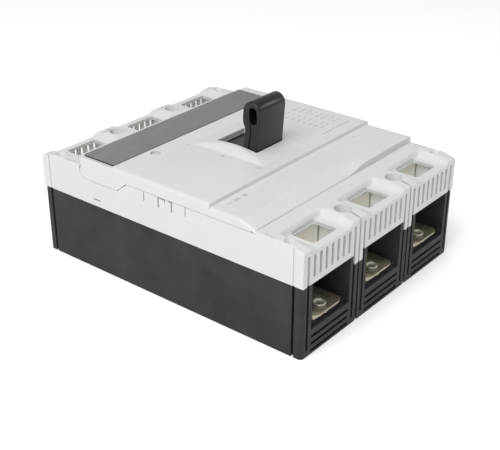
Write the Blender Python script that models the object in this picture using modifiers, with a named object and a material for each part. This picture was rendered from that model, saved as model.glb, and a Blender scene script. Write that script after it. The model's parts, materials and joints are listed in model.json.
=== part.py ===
"""Three-pole moulded case circuit breaker, lying on its back with the lever at off.

X runs across the poles, +Y points to the line end and +Z out of the front.
The origin is the middle of the mounting face.
"""

import math

import bmesh
import bpy
from mathutils import Matrix, Vector

MM = 0.001  # every dimension below is in millimetres and is multiplied by this when it is used
GAP = 0.3  # clearance left between pieces that touch

# Envelope
WIDTH, LENGTH = 210.0, 268.0
BASE_TOP = 59.0
SEAM_Z = 89.0  # lower edge of the front cover
TERMINAL_TOP = 90.3  # top of the main cover beside the front cover
END_EDGE_Z = 87.4  # the same top where it meets the end face
END_SLOPE = 12.0  # length of that fall
LEVEL_A, LEVEL_B = 98.8, 95.8  # the two flat levels of the front cover
HUMP_TOP = 103.8
HALF_W, HALF_L = WIDTH / 2, LENGTH / 2

# Poles
POLE_PITCH = 70.0
POLES = {1: -POLE_PITCH, 2: 0.0, 3: POLE_PITCH}
ENDS = {"load": -1, "line": 1}
CELL_HALF = 30.0  # half the inner width of a pole
CELL_END = 100.0  # where the arc and trip cells stop
FLOOR = 5.0
WELL_Y0, WELL_Y1 = -48.0, 50.0  # deeper part of the cells, under the contacts
LEDGE = 18.0  # floor under the terminal bars
COVER_CEILING = 85.7

# Terminal chambers
CHAMBER_HALF = 24.0
CHAMBER_IN = 104.0
CHAMBER_CEILING = 82.0
PANEL_THICK = 4.0  # the part of the main cover that closes the chamber above the window
SILL_Z, SILL_THICK = 21.0, 3.0
SILL_SLOTS, SILL_SLOT_HALF = (14.8, 9.0, 3.2), 1.2
ACCESS_Y, ACCESS_HALF_X, ACCESS_HALF_Y = 116.8, 13.0, 10.0
DISH_IN_Y, DISH_FLOOR_Z = 105.0, 85.2
DISH_FLOOR_HALF, DISH_RIM_HALF = 19.5, 25.5
VENT_COUNT, VENT_PITCH, VENT_WIDTH = 7, 7.15, 2.5
VENT_Z0, VENT_Z1 = 63.5, 80.5

# Slots in the outer walls
BARRIER_SLOT, SIDE_SLOT = 2.2, 2.6
SIDE_SLOT_DEPTH, SIDE_SLOT_OFFSET = 3.5, 28.8
SIDE_SLOT_TOP = 83.0
FINGER_HALF, FINGER_DEPTH, FINGER_Z = 5.0, 3.0, 51.0
SLIT_Y, SLIT_WIDTH, SLIT_DEPTH = 125.6, 1.2, 1.2

# Terminals
BAR_HALF, BAR_THICK, BAR_END = 17.8, 8.0, 133.4
BAR_CORNER_X, BAR_CORNER_Y = 6.5, 3.3
BAR_BOTTOM = LEDGE + GAP
BAR_TOP = BAR_BOTTOM + BAR_THICK
LOAD_INNER_Y, LINE_INNER_Y = 50.0, 52.0
PAD_Y0, PAD_Y1, PAD_TOP = 57.0, 70.0, BAR_TOP + 1.4  # fixed contact
TAB_Y, TAB_FOOT_Y = 104.6, 109.7  # where the bar steps up to its thinner open end
TAB_BOTTOM, TAB_TOP = 24.4, 28.0
TAB_LEDGE = TAB_BOTTOM - GAP
SCREW_Y, SCREW_HOLE_R = 124.0, 5.5
COLLAR_R, COLLAR_BORE_R, COLLAR_TOP = 5.2, 3.2, TAB_TOP + 2.6
FLANGE_R, FLANGE_THICK = 6.4, 2.1  # foot of a collar, which holds it under its bar

# Mounting holes between the poles and cover screws at the corners
MOUNT_X, MOUNT_Y = POLE_PITCH / 2, 117.5
MOUNT_HEAD_R, MOUNT_SHANK_R, MOUNT_SEAT_Z = 6.8, 3.4, 36.0
CORNER_X, CORNER_Y = 99.2, 117.5
CORNER_HEAD_R, CORNER_SHANK_R, CORNER_SEAT_Z = 4.3, 2.2, 62.0
CORNER_SHANK_LENGTH = 28.0

# Front cover
FRONT_Y0, FRONT_STEP_Y, FRONT_Y1 = -91.0, -48.4, 89.0
FRONT_FAR_TOP = 86.5  # the far face leans back to here at the top
RAMP_TOP_Y, RAMP_END_Z, RAMP_X = -77.0, 91.3, 26.0
SKIRT_Y0, SKIRT_Y1, SKIRT_Z, SKIRT_THICK = 36.6, 88.6, 80.4, 3.0
SKIRT_SLOPE, SKIRT_CORNER = 10.5, 6.0
EDGE_X, EDGE_Z = 3.2, 2.6  # bevel along the sides of the front cover
WALL = 3.0
STRIP_X0, STRIP_X1, STRIP_Y0, STRIP_Y1 = -101.3, 92.5, 52.6, 86.2
STRIP_SINK, STRIP_PROUD = 1.0, 0.7

# Lever
PIVOT_Y, PIVOT_Z = -2.0, 22.0
LEVER_SWING = 18.1
OFF_ANGLE = LEVER_SWING / 2
SHIELD_R, SHIELD_THICK, SHIELD_HALF_X = 77.0, 2.0, 18.6
SHIELD_REACH = 26.0
SHIELD_ROOM = 1.7
WINDOW_HALF_X, WINDOW_Y0, WINDOW_Y1 = 17.6, -22.8, 18.8
HUMP_HALF_X, HUMP_HALF_Y, HUMP_MID_Y, HUMP_SLOPE = 29.0, 37.0, -1.8, 8.5
LEVER_HALF_X, LEVER_FOOT_R, LEVER_FOOT_HALF = 17.0, 77.4, 7.7
LEVER_CROWN, LEVER_CROWN_R = (-16.5, 134.8), 8.2
HOLE_LOW, HOLE_HIGH, HOLE_R = (-17.8, 129.0), (-18.1, 135.8), 3.4
LEVER_WELL_X, LEVER_WELL_Y0, LEVER_WELL_Y1 = 29.5, -48.0, 44.5  # room in the main cover

# Contact system
SHAFT_Y, SHAFT_Z, SHAFT_R, SHAFT_HALF_X = 20.0, 34.0, 9.0, 96.0
CONTACT_SWING = 24.0
CRANK_R, CRANK_ANGLE_OFF = 15.0, 50.0
SHAFT_ROOM = 0.6
CHUTE_Y0, CHUTE_Y1, CHUTE_HALF = 73.0, 97.0, 19.0
CHUTE_Z0, CHUTE_Z1, CHUTE_PLATES = 28.0, 74.0, 7

# Toggle
LINK_TOP_Y, LINK_TOP_Z = 12.0, 76.0
UPPER_LINK, LOWER_LINK = 18.0, 24.0

# Trip parts
TRIP_Y, TRIP_Z, TRIP_R = -44.0, 72.0, 4.0
TRIP_ARM_TOP = 79.8
BUTTON_X, BUTTON_Y, BUTTON_R = -62.5, 45.0, 3.8
BUTTON_TOP = LEVEL_A - 1.7
BUTTON_HEAD, PLUNGER_R = 2.8, 2.1
ARMATURE_Y, ARMATURE_Z = -63.2, 28.0

COLOURS = {
    "base_dark": ((0.055, 0.055, 0.058), 0.55, 0.0),
    "cover_grey": ((0.74, 0.75, 0.74), 0.45, 0.0),
    "strip_dark": ((0.10, 0.10, 0.10), 0.5, 0.0),
    "lever_black": ((0.02, 0.02, 0.021), 0.4, 0.0),
    "tinned": ((0.55, 0.52, 0.44), 0.35, 1.0),
    "copper": ((0.72, 0.38, 0.22), 0.35, 1.0),
    "steel": ((0.45, 0.46, 0.48), 0.4, 1.0),
    "fibre": ((0.55, 0.40, 0.28), 0.8, 0.0),
    "moulding_brown": ((0.16, 0.10, 0.07), 0.5, 0.0),
    "bimetal": ((0.60, 0.55, 0.42), 0.35, 1.0),
}


# ---------------------------------------------------------------- helpers

def clear_scene():
    for item in list(bpy.data.objects):
        bpy.data.objects.remove(item, do_unlink=True)


def new_collection(name):
    collection = bpy.data.collections.new(name)
    bpy.context.scene.collection.children.link(collection)
    return collection


def material_for(kind, name):
    colour, roughness, metallic = COLOURS[kind]
    material = bpy.data.materials.new(name)
    material.use_nodes = True
    shader = material.node_tree.nodes["Principled BSDF"]
    shader.inputs["Base Color"].default_value = (*colour, 1.0)
    shader.inputs["Roughness"].default_value = roughness
    shader.inputs["Metallic"].default_value = metallic
    return material


def add_mesh(mesh, name):
    item = bpy.data.objects.new(name, mesh)
    CUTTERS.objects.link(item)
    item.hide_render = True
    item.display_type = "WIRE"
    return item


def publish(item, name, kind):
    """Turn a working shape into a finished part."""
    CUTTERS.objects.unlink(item)
    PARTS.objects.link(item)
    item.name = name
    item.hide_render = False
    item.display_type = "TEXTURED"
    item.data.materials.clear()
    item.data.materials.append(material_for(kind, name))
    return item


def blocks(*spans):
    """One mesh of separate boxes, each given as x0, x1, y0, y1, z0, z1."""
    mesh = bpy.data.meshes.new("blocks")
    build = bmesh.new()
    for x0, x1, y0, y1, z0, z1 in spans:
        size = Matrix.Diagonal(((x1 - x0) * MM, (y1 - y0) * MM, (z1 - z0) * MM, 1.0))
        middle = Vector((x0 + x1, y0 + y1, z0 + z1)) * (MM / 2)
        bmesh.ops.create_cube(build, size=1.0, matrix=Matrix.Translation(middle) @ size)
    build.to_mesh(mesh)
    build.free()
    return add_mesh(mesh, "blocks")


def rod(axis, centre, radius, length, sides=24):
    """A cylinder whose middle is at centre."""
    turn = {
        "X": Matrix.Rotation(math.pi / 2, 4, "Y"),
        "Y": Matrix.Rotation(math.pi / 2, 4, "X"),
        "Z": Matrix.Identity(4),
    }[axis]
    mesh = bpy.data.meshes.new("rod")
    build = bmesh.new()
    bmesh.ops.create_cone(
        build, cap_ends=True, segments=sides, radius1=radius * MM, radius2=radius * MM,
        depth=length * MM, matrix=Matrix.Translation(Vector(centre) * MM) @ turn,
    )
    build.to_mesh(mesh)
    build.free()
    return add_mesh(mesh, "rod")


def prism(axis, outline, start, end):
    """An outline extruded along an axis. It is given as (y, z) along X, (x, z) along Y, (x, y) along Z."""
    frame = {
        "X": Matrix(((0, 0, 1, 0), (1, 0, 0, 0), (0, 1, 0, 0), (0, 0, 0, 1))),
        "Y": Matrix(((1, 0, 0, 0), (0, 0, -1, 0), (0, 1, 0, 0), (0, 0, 0, 1))),
        "Z": Matrix.Identity(4),
    }[axis]
    middle = Vector([(start + end) / 2 if letter == axis else 0.0 for letter in "XYZ"]) * MM
    curve = bpy.data.curves.new("outline", "CURVE")
    curve.dimensions = "2D"
    curve.fill_mode = "BOTH"
    curve.extrude = (end - start) * MM / 2
    spline = curve.splines.new("POLY")
    spline.points.add(len(outline) - 1)
    for point, (a, b) in zip(spline.points, outline):
        point.co = (a * MM, b * MM, 0.0, 1.0)
    spline.use_cyclic_u = True
    return from_curve(curve, Matrix.Translation(middle) @ frame)


def from_curve(curve, placed):
    guide = bpy.data.objects.new("guide", curve)
    CUTTERS.objects.link(guide)
    bpy.context.view_layer.update()
    solid = guide.evaluated_get(bpy.context.evaluated_depsgraph_get())
    mesh = bpy.data.meshes.new_from_object(solid)
    bpy.data.objects.remove(guide, do_unlink=True)
    build = bmesh.new()
    build.from_mesh(mesh)
    bmesh.ops.remove_doubles(build, verts=build.verts, dist=1e-6)
    bmesh.ops.transform(build, matrix=placed, verts=build.verts)
    bmesh.ops.recalc_face_normals(build, faces=build.faces)
    build.to_mesh(mesh)
    build.free()
    return add_mesh(mesh, "outline")


def turned(profile, centre, sides=24):
    """A turned piece: a profile of (radius, z), running down its outer side, spun about a vertical axis."""
    mesh = bpy.data.meshes.new("turned")
    points = [(radius * MM, 0.0, z * MM) for radius, z in profile]
    closed = [(i, (i + 1) % len(points)) for i in range(len(points))]
    mesh.from_pydata(points, closed, [])
    item = add_mesh(mesh, "turned")
    item.location = Vector(centre) * MM
    screw = item.modifiers.new("Screw", "SCREW")
    screw.steps = screw.render_steps = sides
    screw.use_merge_vertices = True
    screw.merge_threshold = 1e-6
    return item


def combine(target, others, operation):
    for other in others:
        step = target.modifiers.new(operation.title(), "BOOLEAN")
        step.operation = operation
        step.solver = "EXACT"
        step.object = other
    return target


def cut(target, *others):
    return combine(target, others, "DIFFERENCE")


def fuse(target, *others):
    return combine(target, others, "UNION")


def arc(centre, radius, start, end, steps):
    """Points of an arc, angles in degrees from the first axis towards the second."""
    angles = [math.radians(start + (end - start) * i / steps) for i in range(steps + 1)]
    return [(centre[0] + radius * math.cos(a), centre[1] + radius * math.sin(a)) for a in angles]


def swing(point, pivot, degrees):
    """A (y, z) point turned about a pivot, from +Y towards +Z."""
    angle = math.radians(degrees)
    y, z = point[0] - pivot[0], point[1] - pivot[1]
    return (
        pivot[0] + y * math.cos(angle) - z * math.sin(angle),
        pivot[1] + y * math.sin(angle) + z * math.cos(angle),
    )


def axis_empty(name, y, z, x=0.0):
    empty = bpy.data.objects.new(name, None)
    empty.location = Vector((x, y, z)) * MM
    CUTTERS.objects.link(empty)
    return empty


def hang(empty, *pieces):
    """Parent pieces to a joint's empty and leave them where they are."""
    for piece in pieces:
        piece.parent = empty
        piece.matrix_parent_inverse = Matrix.Translation(-empty.location)


def along(axis_sign, y0, y1):
    """A Y span given for the line end, taken to either end."""
    return tuple(sorted((axis_sign * y0, axis_sign * y1)))


def chamber_spans(half_x, y0, y1, z0, z1):
    """The same box in each of the six terminal chambers."""
    return [
        (x - half_x, x + half_x, *along(sign, y0, y1), z0, z1)
        for x in POLES.values() for sign in ENDS.values()
    ]


def corner_rods(x, y, radius, z0, z1, sides=24):
    """Four upright cylinders placed evenly about the middle."""
    return [
        rod("Z", (sx * x, sy * y, (z0 + z1) / 2), radius, z1 - z0, sides)
        for sx in (-1, 1) for sy in (-1, 1)
    ]


# ---------------------------------------------------------------- casings

def end_slots(z0, z1, side_top):
    """Upright slots in the end faces: a deep one between poles, a shallow one on each side of a chamber."""
    deep, shallow = [], []
    for sign in ENDS.values():
        for x in (-MOUNT_X, MOUNT_X):
            deep.append((x - BARRIER_SLOT / 2, x + BARRIER_SLOT / 2,
                         *along(sign, MOUNT_Y, HALF_L + 1), z0, z1))
        for x in POLES.values():
            for middle in (x - SIDE_SLOT_OFFSET, x + SIDE_SLOT_OFFSET):
                shallow.append((middle - SIDE_SLOT / 2, middle + SIDE_SLOT / 2,
                                *along(sign, HALF_L - SIDE_SLOT_DEPTH, HALF_L + 1), z0, side_top))
    return deep + shallow


def side_slits(z0, z1):
    spans = []
    for sign in (-1, 1):
        for side in (-1, 1):
            spans.append((*along(side, HALF_W - SLIT_DEPTH, HALF_W + 1),
                          *along(sign, SLIT_Y - SLIT_WIDTH / 2, SLIT_Y + SLIT_WIDTH / 2), z0, z1))
    return spans


def fingers(grow, top):
    """Tongues of the main cover that reach down over the base between the poles."""
    return [(x - FINGER_HALF - grow, x + FINGER_HALF + grow,
             *along(sign, HALF_L - FINGER_DEPTH - grow, HALF_L + grow), FINGER_Z - grow, top)
            for x in (-MOUNT_X, MOUNT_X) for sign in ENDS.values()]


def base_case():
    above = BASE_TOP + 1
    body = blocks((-HALF_W, HALF_W, -HALF_L, HALF_L, 0, BASE_TOP))
    cells = [(x - CELL_HALF, x + CELL_HALF, -CELL_END, CELL_END, LEDGE, above)
             for x in POLES.values()]
    wells = [(x - CELL_HALF, x + CELL_HALF, WELL_Y0, WELL_Y1, FLOOR, LEDGE + 1)
             for x in POLES.values()]
    chambers = chamber_spans(CHAMBER_HALF, CHAMBER_IN, TAB_FOOT_Y + GAP, LEDGE, above)
    chamber_fronts = chamber_spans(CHAMBER_HALF, TAB_FOOT_Y, HALF_L - SILL_THICK, TAB_LEDGE, above)
    windows = chamber_spans(CHAMBER_HALF, HALF_L - SILL_THICK - 1, HALF_L + 1, SILL_Z, above)
    bar_ways = chamber_spans(BAR_HALF + GAP, CELL_END - 1, CHAMBER_IN + 1, LEDGE, BAR_TOP + GAP)
    sill_slots = []
    for z in SILL_SLOTS:
        sill_slots += chamber_spans(CHAMBER_HALF - GAP, HALF_L - SIDE_SLOT_DEPTH, HALF_L + 1,
                                    z - SILL_SLOT_HALF, z + SILL_SLOT_HALF)
    reach = SHAFT_R + SHAFT_ROOM
    saddles = [(x - MOUNT_X + CELL_HALF - 0.5, x + MOUNT_X - CELL_HALF + 0.5, SHAFT_Y - reach,
                SHAFT_Y + reach, SHAFT_Z - reach, above) for x in (-MOUNT_X, MOUNT_X)]
    cut(body, blocks(*cells), blocks(*wells), blocks(*chambers), blocks(*chamber_fronts), blocks(*windows),
        blocks(*bar_ways), blocks(*sill_slots), blocks(*end_slots(-1, above, above)),
        blocks(*fingers(GAP, above)), blocks(*saddles), blocks(*side_slits(-1, above)))
    cut(body, *[rod("Z", (x, sign * SCREW_Y, TAB_LEDGE), FLANGE_R + GAP, 2 * (TAB_LEDGE - LEDGE))
                for x in POLES.values() for sign in ENDS.values()])
    cut(body, *corner_rods(MOUNT_X, MOUNT_Y, MOUNT_SHANK_R, -1, MOUNT_SEAT_Z + 1, 16))
    cut(body, *corner_rods(MOUNT_X, MOUNT_Y, MOUNT_HEAD_R, MOUNT_SEAT_Z, above))
    screw_foot = CORNER_SEAT_Z - CORNER_SHANK_LENGTH - 1
    cut(body, *corner_rods(CORNER_X, CORNER_Y, CORNER_SHANK_R, screw_foot, above, 16))
    publish(body, "base_case", "base_dark")


def vent_spans():
    spans = []
    for i in range(VENT_COUNT):
        shift = (i - (VENT_COUNT - 1) / 2) * VENT_PITCH
        for x in POLES.values():
            for sign in ENDS.values():
                spans.append((x + shift - VENT_WIDTH / 2, x + shift + VENT_WIDTH / 2,
                              *along(sign, HALF_L - PANEL_THICK - 1, HALF_L + 1), VENT_Z0, VENT_Z1))
    return spans


def skirt_outline(grow):
    """Side view of the flap that the front cover hangs over the main cover."""
    low = SKIRT_Z - grow
    near, far = SKIRT_Y0 - grow, SKIRT_Y1 + grow
    return [(near, SEAM_Z + 2), (near, SEAM_Z - grow), (near + SKIRT_SLOPE, low),
            (far - SKIRT_CORNER, low), (far, low + SKIRT_CORNER), (far, SEAM_Z + 2)]


def end_relief(body, above):
    """Slope the top towards each end face and sink a dish round each access opening."""
    slope_y = HALF_L - END_SLOPE
    for sign in ENDS.values():
        slope = [(sign * slope_y, TERMINAL_TOP), (sign * HALF_L, END_EDGE_Z),
                 (sign * (HALF_L + 1), END_EDGE_Z), (sign * (HALF_L + 1), above), (sign * slope_y, above)]
        cut(body, prism("X", slope, -HALF_W - 1, HALF_W + 1))
        y0, y1 = along(sign, DISH_IN_Y, HALF_L + 1)
        for x in POLES.values():
            dish = [(x - DISH_FLOOR_HALF, DISH_FLOOR_Z), (x + DISH_FLOOR_HALF, DISH_FLOOR_Z),
                    (x + DISH_RIM_HALF, TERMINAL_TOP), (x + DISH_RIM_HALF, above),
                    (x - DISH_RIM_HALF, above), (x - DISH_RIM_HALF, TERMINAL_TOP)]
            cut(body, prism("Y", dish, y0, y1))


def main_cover():
    bottom, above = BASE_TOP + GAP, TERMINAL_TOP + 2
    body = blocks((-HALF_W, HALF_W, -HALF_L, HALF_L, bottom, TERMINAL_TOP))
    fuse(body, blocks(*fingers(0, bottom + 1)))
    end_relief(body, above)
    seat = (-HALF_W - 1, HALF_W + 1, FRONT_Y0 - GAP, FRONT_Y1 + GAP, SEAM_Z - GAP, above)
    cells = [(x - CELL_HALF, x + CELL_HALF, -CELL_END, CELL_END, bottom - 1, COVER_CEILING)
             for x in POLES.values()]
    chambers = chamber_spans(CHAMBER_HALF, CHAMBER_IN, HALF_L - PANEL_THICK, bottom - 1, CHAMBER_CEILING)
    accesses = chamber_spans(ACCESS_HALF_X, ACCESS_Y - ACCESS_HALF_Y, ACCESS_Y + ACCESS_HALF_Y,
                             CHAMBER_CEILING - 1, above)
    trip_ways = [(x - MOUNT_X + CELL_HALF - 0.5, x + MOUNT_X - CELL_HALF + 0.5, TRIP_Y - TRIP_R * 2,
                  TRIP_Y + TRIP_R * 2, bottom - 1, TRIP_ARM_TOP + 1) for x in (-MOUNT_X, MOUNT_X)]
    well = (-LEVER_WELL_X, LEVER_WELL_X, LEVER_WELL_Y0, LEVER_WELL_Y1, COVER_CEILING - 1, above)
    cut(body, blocks(seat), blocks(*cells), blocks(*chambers), blocks(*accesses), blocks(*trip_ways),
        blocks(*end_slots(FINGER_Z - 1, above, SIDE_SLOT_TOP)), blocks(well), blocks(*vent_spans()),
        blocks(*side_slits(bottom - 1, above)))
    for side in (-1, 1):
        x0, x1 = along(side, HALF_W - SKIRT_THICK - GAP, HALF_W + 1)
        cut(body, prism("X", skirt_outline(GAP), x0, x1))
    cut(body, rod("Z", (BUTTON_X, BUTTON_Y, COVER_CEILING), PLUNGER_R + 0.5, 10, 16))
    cut(body, *corner_rods(MOUNT_X, MOUNT_Y, MOUNT_HEAD_R, bottom - 1, above))
    cut(body, *corner_rods(CORNER_X, CORNER_Y, CORNER_SHANK_R, bottom - 1, CORNER_SEAT_Z + 1, 16))
    cut(body, *corner_rods(CORNER_X, CORNER_Y, CORNER_HEAD_R, CORNER_SEAT_Z, above))
    publish(body, "main_cover", "cover_grey")


def hump():
    """The arched rise round the lever window, with sloped sides."""
    rise = HUMP_TOP - LEVEL_A
    radius = (HUMP_HALF_Y ** 2 + rise ** 2) / (2 * rise)
    reach = math.degrees(math.asin(HUMP_HALF_Y / radius))
    crown = arc((HUMP_MID_Y, HUMP_TOP - radius), radius, 90 - reach, 90 + reach, 16)
    foot = [(HUMP_MID_Y - HUMP_HALF_Y, LEVEL_A - 2), (HUMP_MID_Y + HUMP_HALF_Y, LEVEL_A - 2)]
    body = prism("X", crown + foot, -HUMP_HALF_X, HUMP_HALF_X)
    for side in (-1, 1):
        top = side * (HUMP_HALF_X - HUMP_SLOPE)
        slope = [(side * HUMP_HALF_X, LEVEL_A), (top, HUMP_TOP), (top, HUMP_TOP + 2),
                 (side * (HUMP_HALF_X + 1), HUMP_TOP + 2), (side * (HUMP_HALF_X + 1), LEVEL_A)]
        cut(body, prism("Y", slope, HUMP_MID_Y - 50, HUMP_MID_Y + 50))
    return body


def side_edges(body):
    """Bevel the long edges of both levels."""
    for side in (-1, 1):
        for level, y0, y1 in ((LEVEL_A, FRONT_STEP_Y, FRONT_Y1 + 1), (LEVEL_B, FRONT_Y0 - 1, FRONT_STEP_Y)):
            edge = [(side * (HALF_W - EDGE_X), level), (side * HALF_W, level - EDGE_Z),
                    (side * (HALF_W + 1), level - EDGE_Z), (side * (HALF_W + 1), level + 4),
                    (side * (HALF_W - EDGE_X), level + 4)]
            cut(body, prism("Y", edge, y0, y1))


def front_cover():
    body = blocks((-HALF_W, HALF_W, FRONT_STEP_Y, FRONT_Y1, SEAM_Z, LEVEL_A))
    fuse(body, blocks((-HALF_W, HALF_W, FRONT_Y0, FRONT_STEP_Y + 1, SEAM_Z, LEVEL_B)), hump())
    for side in (-1, 1):
        x0, x1 = along(side, HALF_W - SKIRT_THICK, HALF_W)
        fuse(body, prism("X", skirt_outline(0), x0, x1))
    side_edges(body)
    ramp = [(RAMP_TOP_Y, LEVEL_B), (FRONT_Y0 - 1, RAMP_END_Z), (FRONT_Y0 - 1, LEVEL_B + 1),
            (RAMP_TOP_Y, LEVEL_B + 1)]
    far_lean = [(FRONT_FAR_TOP, LEVEL_A + 1), (FRONT_FAR_TOP, LEVEL_A), (FRONT_Y1, TERMINAL_TOP + GAP),
                (FRONT_Y1 + 1, TERMINAL_TOP + GAP), (FRONT_Y1 + 1, LEVEL_A + 1)]
    cut(body, prism("X", ramp, -HALF_W - 1, RAMP_X), prism("X", far_lean, -HALF_W - 1, HALF_W + 1))
    inner_x = HALF_W - WALL
    cut(body,
        blocks((-inner_x, inner_x, FRONT_STEP_Y + WALL, FRONT_Y1 - WALL, SEAM_Z - 1, LEVEL_A - WALL)),
        blocks((-inner_x, inner_x, RAMP_TOP_Y + 1, FRONT_STEP_Y + WALL + 1, SEAM_Z - 1, LEVEL_B - WALL)))
    bay = arc((PIVOT_Y, PIVOT_Z), SHIELD_R + SHIELD_ROOM, 70, 110, 12)
    bay += [(PIVOT_Y - SHIELD_REACH, SEAM_Z + 1), (PIVOT_Y + SHIELD_REACH, SEAM_Z + 1)]
    cut(body, prism("X", bay, -SHIELD_HALF_X - 1, SHIELD_HALF_X + 1))
    cut(body, blocks((-WINDOW_HALF_X, WINDOW_HALF_X, WINDOW_Y0, WINDOW_Y1, SEAM_Z + 3, HUMP_TOP + 1)))
    cut(body, blocks((STRIP_X0 - GAP, STRIP_X1 + GAP, STRIP_Y0 - GAP, FRONT_Y1 + 1,
                      LEVEL_A - STRIP_SINK, LEVEL_A + 1)))
    cut(body, rod("Z", (BUTTON_X, BUTTON_Y, LEVEL_A), BUTTON_R + 0.35, 12))
    publish(body, "front_cover", "cover_grey")


def label_strip():
    plate = blocks((STRIP_X0, STRIP_X1, STRIP_Y0, STRIP_Y1, LEVEL_A - STRIP_SINK + GAP,
                    LEVEL_A + STRIP_PROUD))
    publish(plate, "label_strip", "strip_dark")


def cover_screws():
    head, shank = CORNER_HEAD_R - 0.5, CORNER_SHANK_R - GAP
    profile = [(0, 4.2), (head - 0.6, 4.2), (head, 3.6), (head, GAP), (shank, GAP),
               (shank, -CORNER_SHANK_LENGTH), (0, -CORNER_SHANK_LENGTH)]
    for i, (sx, sy) in enumerate(((-1, -1), (1, -1), (-1, 1), (1, 1)), 1):
        screw = turned(profile, (sx * CORNER_X, sy * CORNER_Y, CORNER_SEAT_Z), 16)
        publish(screw, f"cover_screw_{i}", "steel")


# ---------------------------------------------------------------- conductors

def terminals():
    flange_top = TAB_BOTTOM - GAP
    foot = flange_top - FLANGE_THICK
    collar = [(COLLAR_R, COLLAR_TOP), (COLLAR_R, flange_top), (FLANGE_R, flange_top), (FLANGE_R, foot),
              (COLLAR_BORE_R, foot), (COLLAR_BORE_R, COLLAR_TOP)]
    for number, x in POLES.items():
        for end, sign in ENDS.items():
            inner = LINE_INNER_Y if end == "line" else LOAD_INNER_Y
            side_view = [(inner, BAR_BOTTOM), (TAB_FOOT_Y, BAR_BOTTOM), (TAB_FOOT_Y, TAB_BOTTOM),
                         (BAR_END - 2.5, TAB_BOTTOM), (BAR_END, TAB_TOP - 1.6), (BAR_END, TAB_TOP),
                         (TAB_Y, TAB_TOP), (TAB_Y, BAR_TOP), (inner, BAR_TOP)]
            bar = prism("X", [(sign * y, z) for y, z in side_view], x - BAR_HALF, x + BAR_HALF)
            corners = [prism("Z", [(x + side * (BAR_HALF - BAR_CORNER_X), sign * (BAR_END + 1)),
                                   (x + side * (BAR_HALF - BAR_CORNER_X), sign * BAR_END),
                                   (x + side * BAR_HALF, sign * (BAR_END - BAR_CORNER_Y)),
                                   (x + side * (BAR_HALF + 1), sign * (BAR_END - BAR_CORNER_Y)),
                                   (x + side * (BAR_HALF + 1), sign * (BAR_END + 1))],
                             BAR_BOTTOM, TAB_TOP + 1) for side in (-1, 1)]
            cut(bar, rod("Z", (x, sign * SCREW_Y, TAB_TOP), SCREW_HOLE_R, 30), *corners)
            if end == "line":
                fuse(bar, blocks((x - 8, x + 8, PAD_Y0, PAD_Y1, BAR_TOP - 1, PAD_TOP)))
            publish(bar, f"{end}_terminal_{number}", "tinned")
            publish(turned(collar, (x, sign * SCREW_Y, 0), 20), f"{end}_nut_{number}", "steel")


def arc_chutes():
    pitch = (CHUTE_Z1 - CHUTE_Z0 - 6) / (CHUTE_PLATES - 1)
    for number, x in POLES.items():
        body = blocks(*[
            (*sorted((x + side * CHUTE_HALF, x + side * (CHUTE_HALF - 1.6))), CHUTE_Y0, CHUTE_Y1,
             CHUTE_Z0, CHUTE_Z1) for side in (-1, 1)])
        plates = [(x - CHUTE_HALF + 0.8, x + CHUTE_HALF - 0.8, CHUTE_Y0 + 1, CHUTE_Y1 - 1,
                   CHUTE_Z0 + 3 + i * pitch - 0.7, CHUTE_Z0 + 3 + i * pitch + 0.7)
                  for i in range(CHUTE_PLATES)]
        fuse(body, blocks(*plates))
        publish(body, f"arc_chute_{number}", "fibre")


def magnets_and_bimetals():
    for number, x in POLES.items():
        yoke = blocks((x - 18, x + 18, -88, -86, BAR_TOP + GAP, 60))
        fuse(yoke, blocks((x - 18, x - 15.5, -87, -68, BAR_TOP + GAP, 60),
                          (x + 15.5, x + 18, -87, -68, BAR_TOP + GAP, 60)))
        publish(yoke, f"magnet_yoke_{number}", "steel")
        flap = blocks((x - 17, x + 17, ARMATURE_Y - 0.8, ARMATURE_Y + 0.8, ARMATURE_Z, 61))
        publish(flap, f"armature_{number}", "steel")
        hang(axis_empty(f"armature_axis_{number}", ARMATURE_Y, ARMATURE_Z, x), flap)
        strip = blocks((x - 6, x + 6, -56, -54.8, BAR_TOP + GAP, 71))
        publish(strip, f"bimetal_{number}", "bimetal")


def contact_arm_outline():
    tip = [(-14, -3.5), (39, -3.5), (39, -6), (49, -6), (51, -4), (51, 0), (47, 3.5), (-14, 3.5)]
    pivot = (SHAFT_Y, SHAFT_Z)
    return [swing((SHAFT_Y + y, SHAFT_Z + z), pivot, CONTACT_SWING) for y, z in tip]


def contact_system():
    pivot = (SHAFT_Y, SHAFT_Z)
    shaft = rod("X", (0, *pivot), SHAFT_R, 2 * SHAFT_HALF_X)
    throat = [swing((SHAFT_Y + y, SHAFT_Z + z), pivot, CONTACT_SWING)
              for y, z in ((-12, -3.9), (12, -3.9), (12, 3.9), (-12, 3.9))]
    lug = [swing((SHAFT_Y + y, SHAFT_Z + z), pivot, CRANK_ANGLE_OFF)
           for y, z in ((6, -3.6), (CRANK_R + 3, -3.6), (CRANK_R + 3, 3.6), (6, 3.6))]
    crank = swing((SHAFT_Y + CRANK_R, SHAFT_Z), pivot, CRANK_ANGLE_OFF)
    for side in (-1, 1):
        x0, x1 = along(side, 11.5, 14.5)
        fuse(shaft, prism("X", lug, x0, x1), rod("X", (side * 10.2, *crank), 2.0, 6.4, 16))
    for x in POLES.values():
        cut(shaft, prism("X", throat, x - 5.4, x + 5.4))
    publish(shaft, "crossbar", "moulding_brown")
    pieces = [shaft]
    for number, x in POLES.items():
        arm = prism("X", contact_arm_outline(), x - 5, x + 5)
        pieces.append(publish(arm, f"moving_contact_{number}", "copper"))
    hang(axis_empty("crossbar_axis", *pivot), *pieces)


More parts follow.
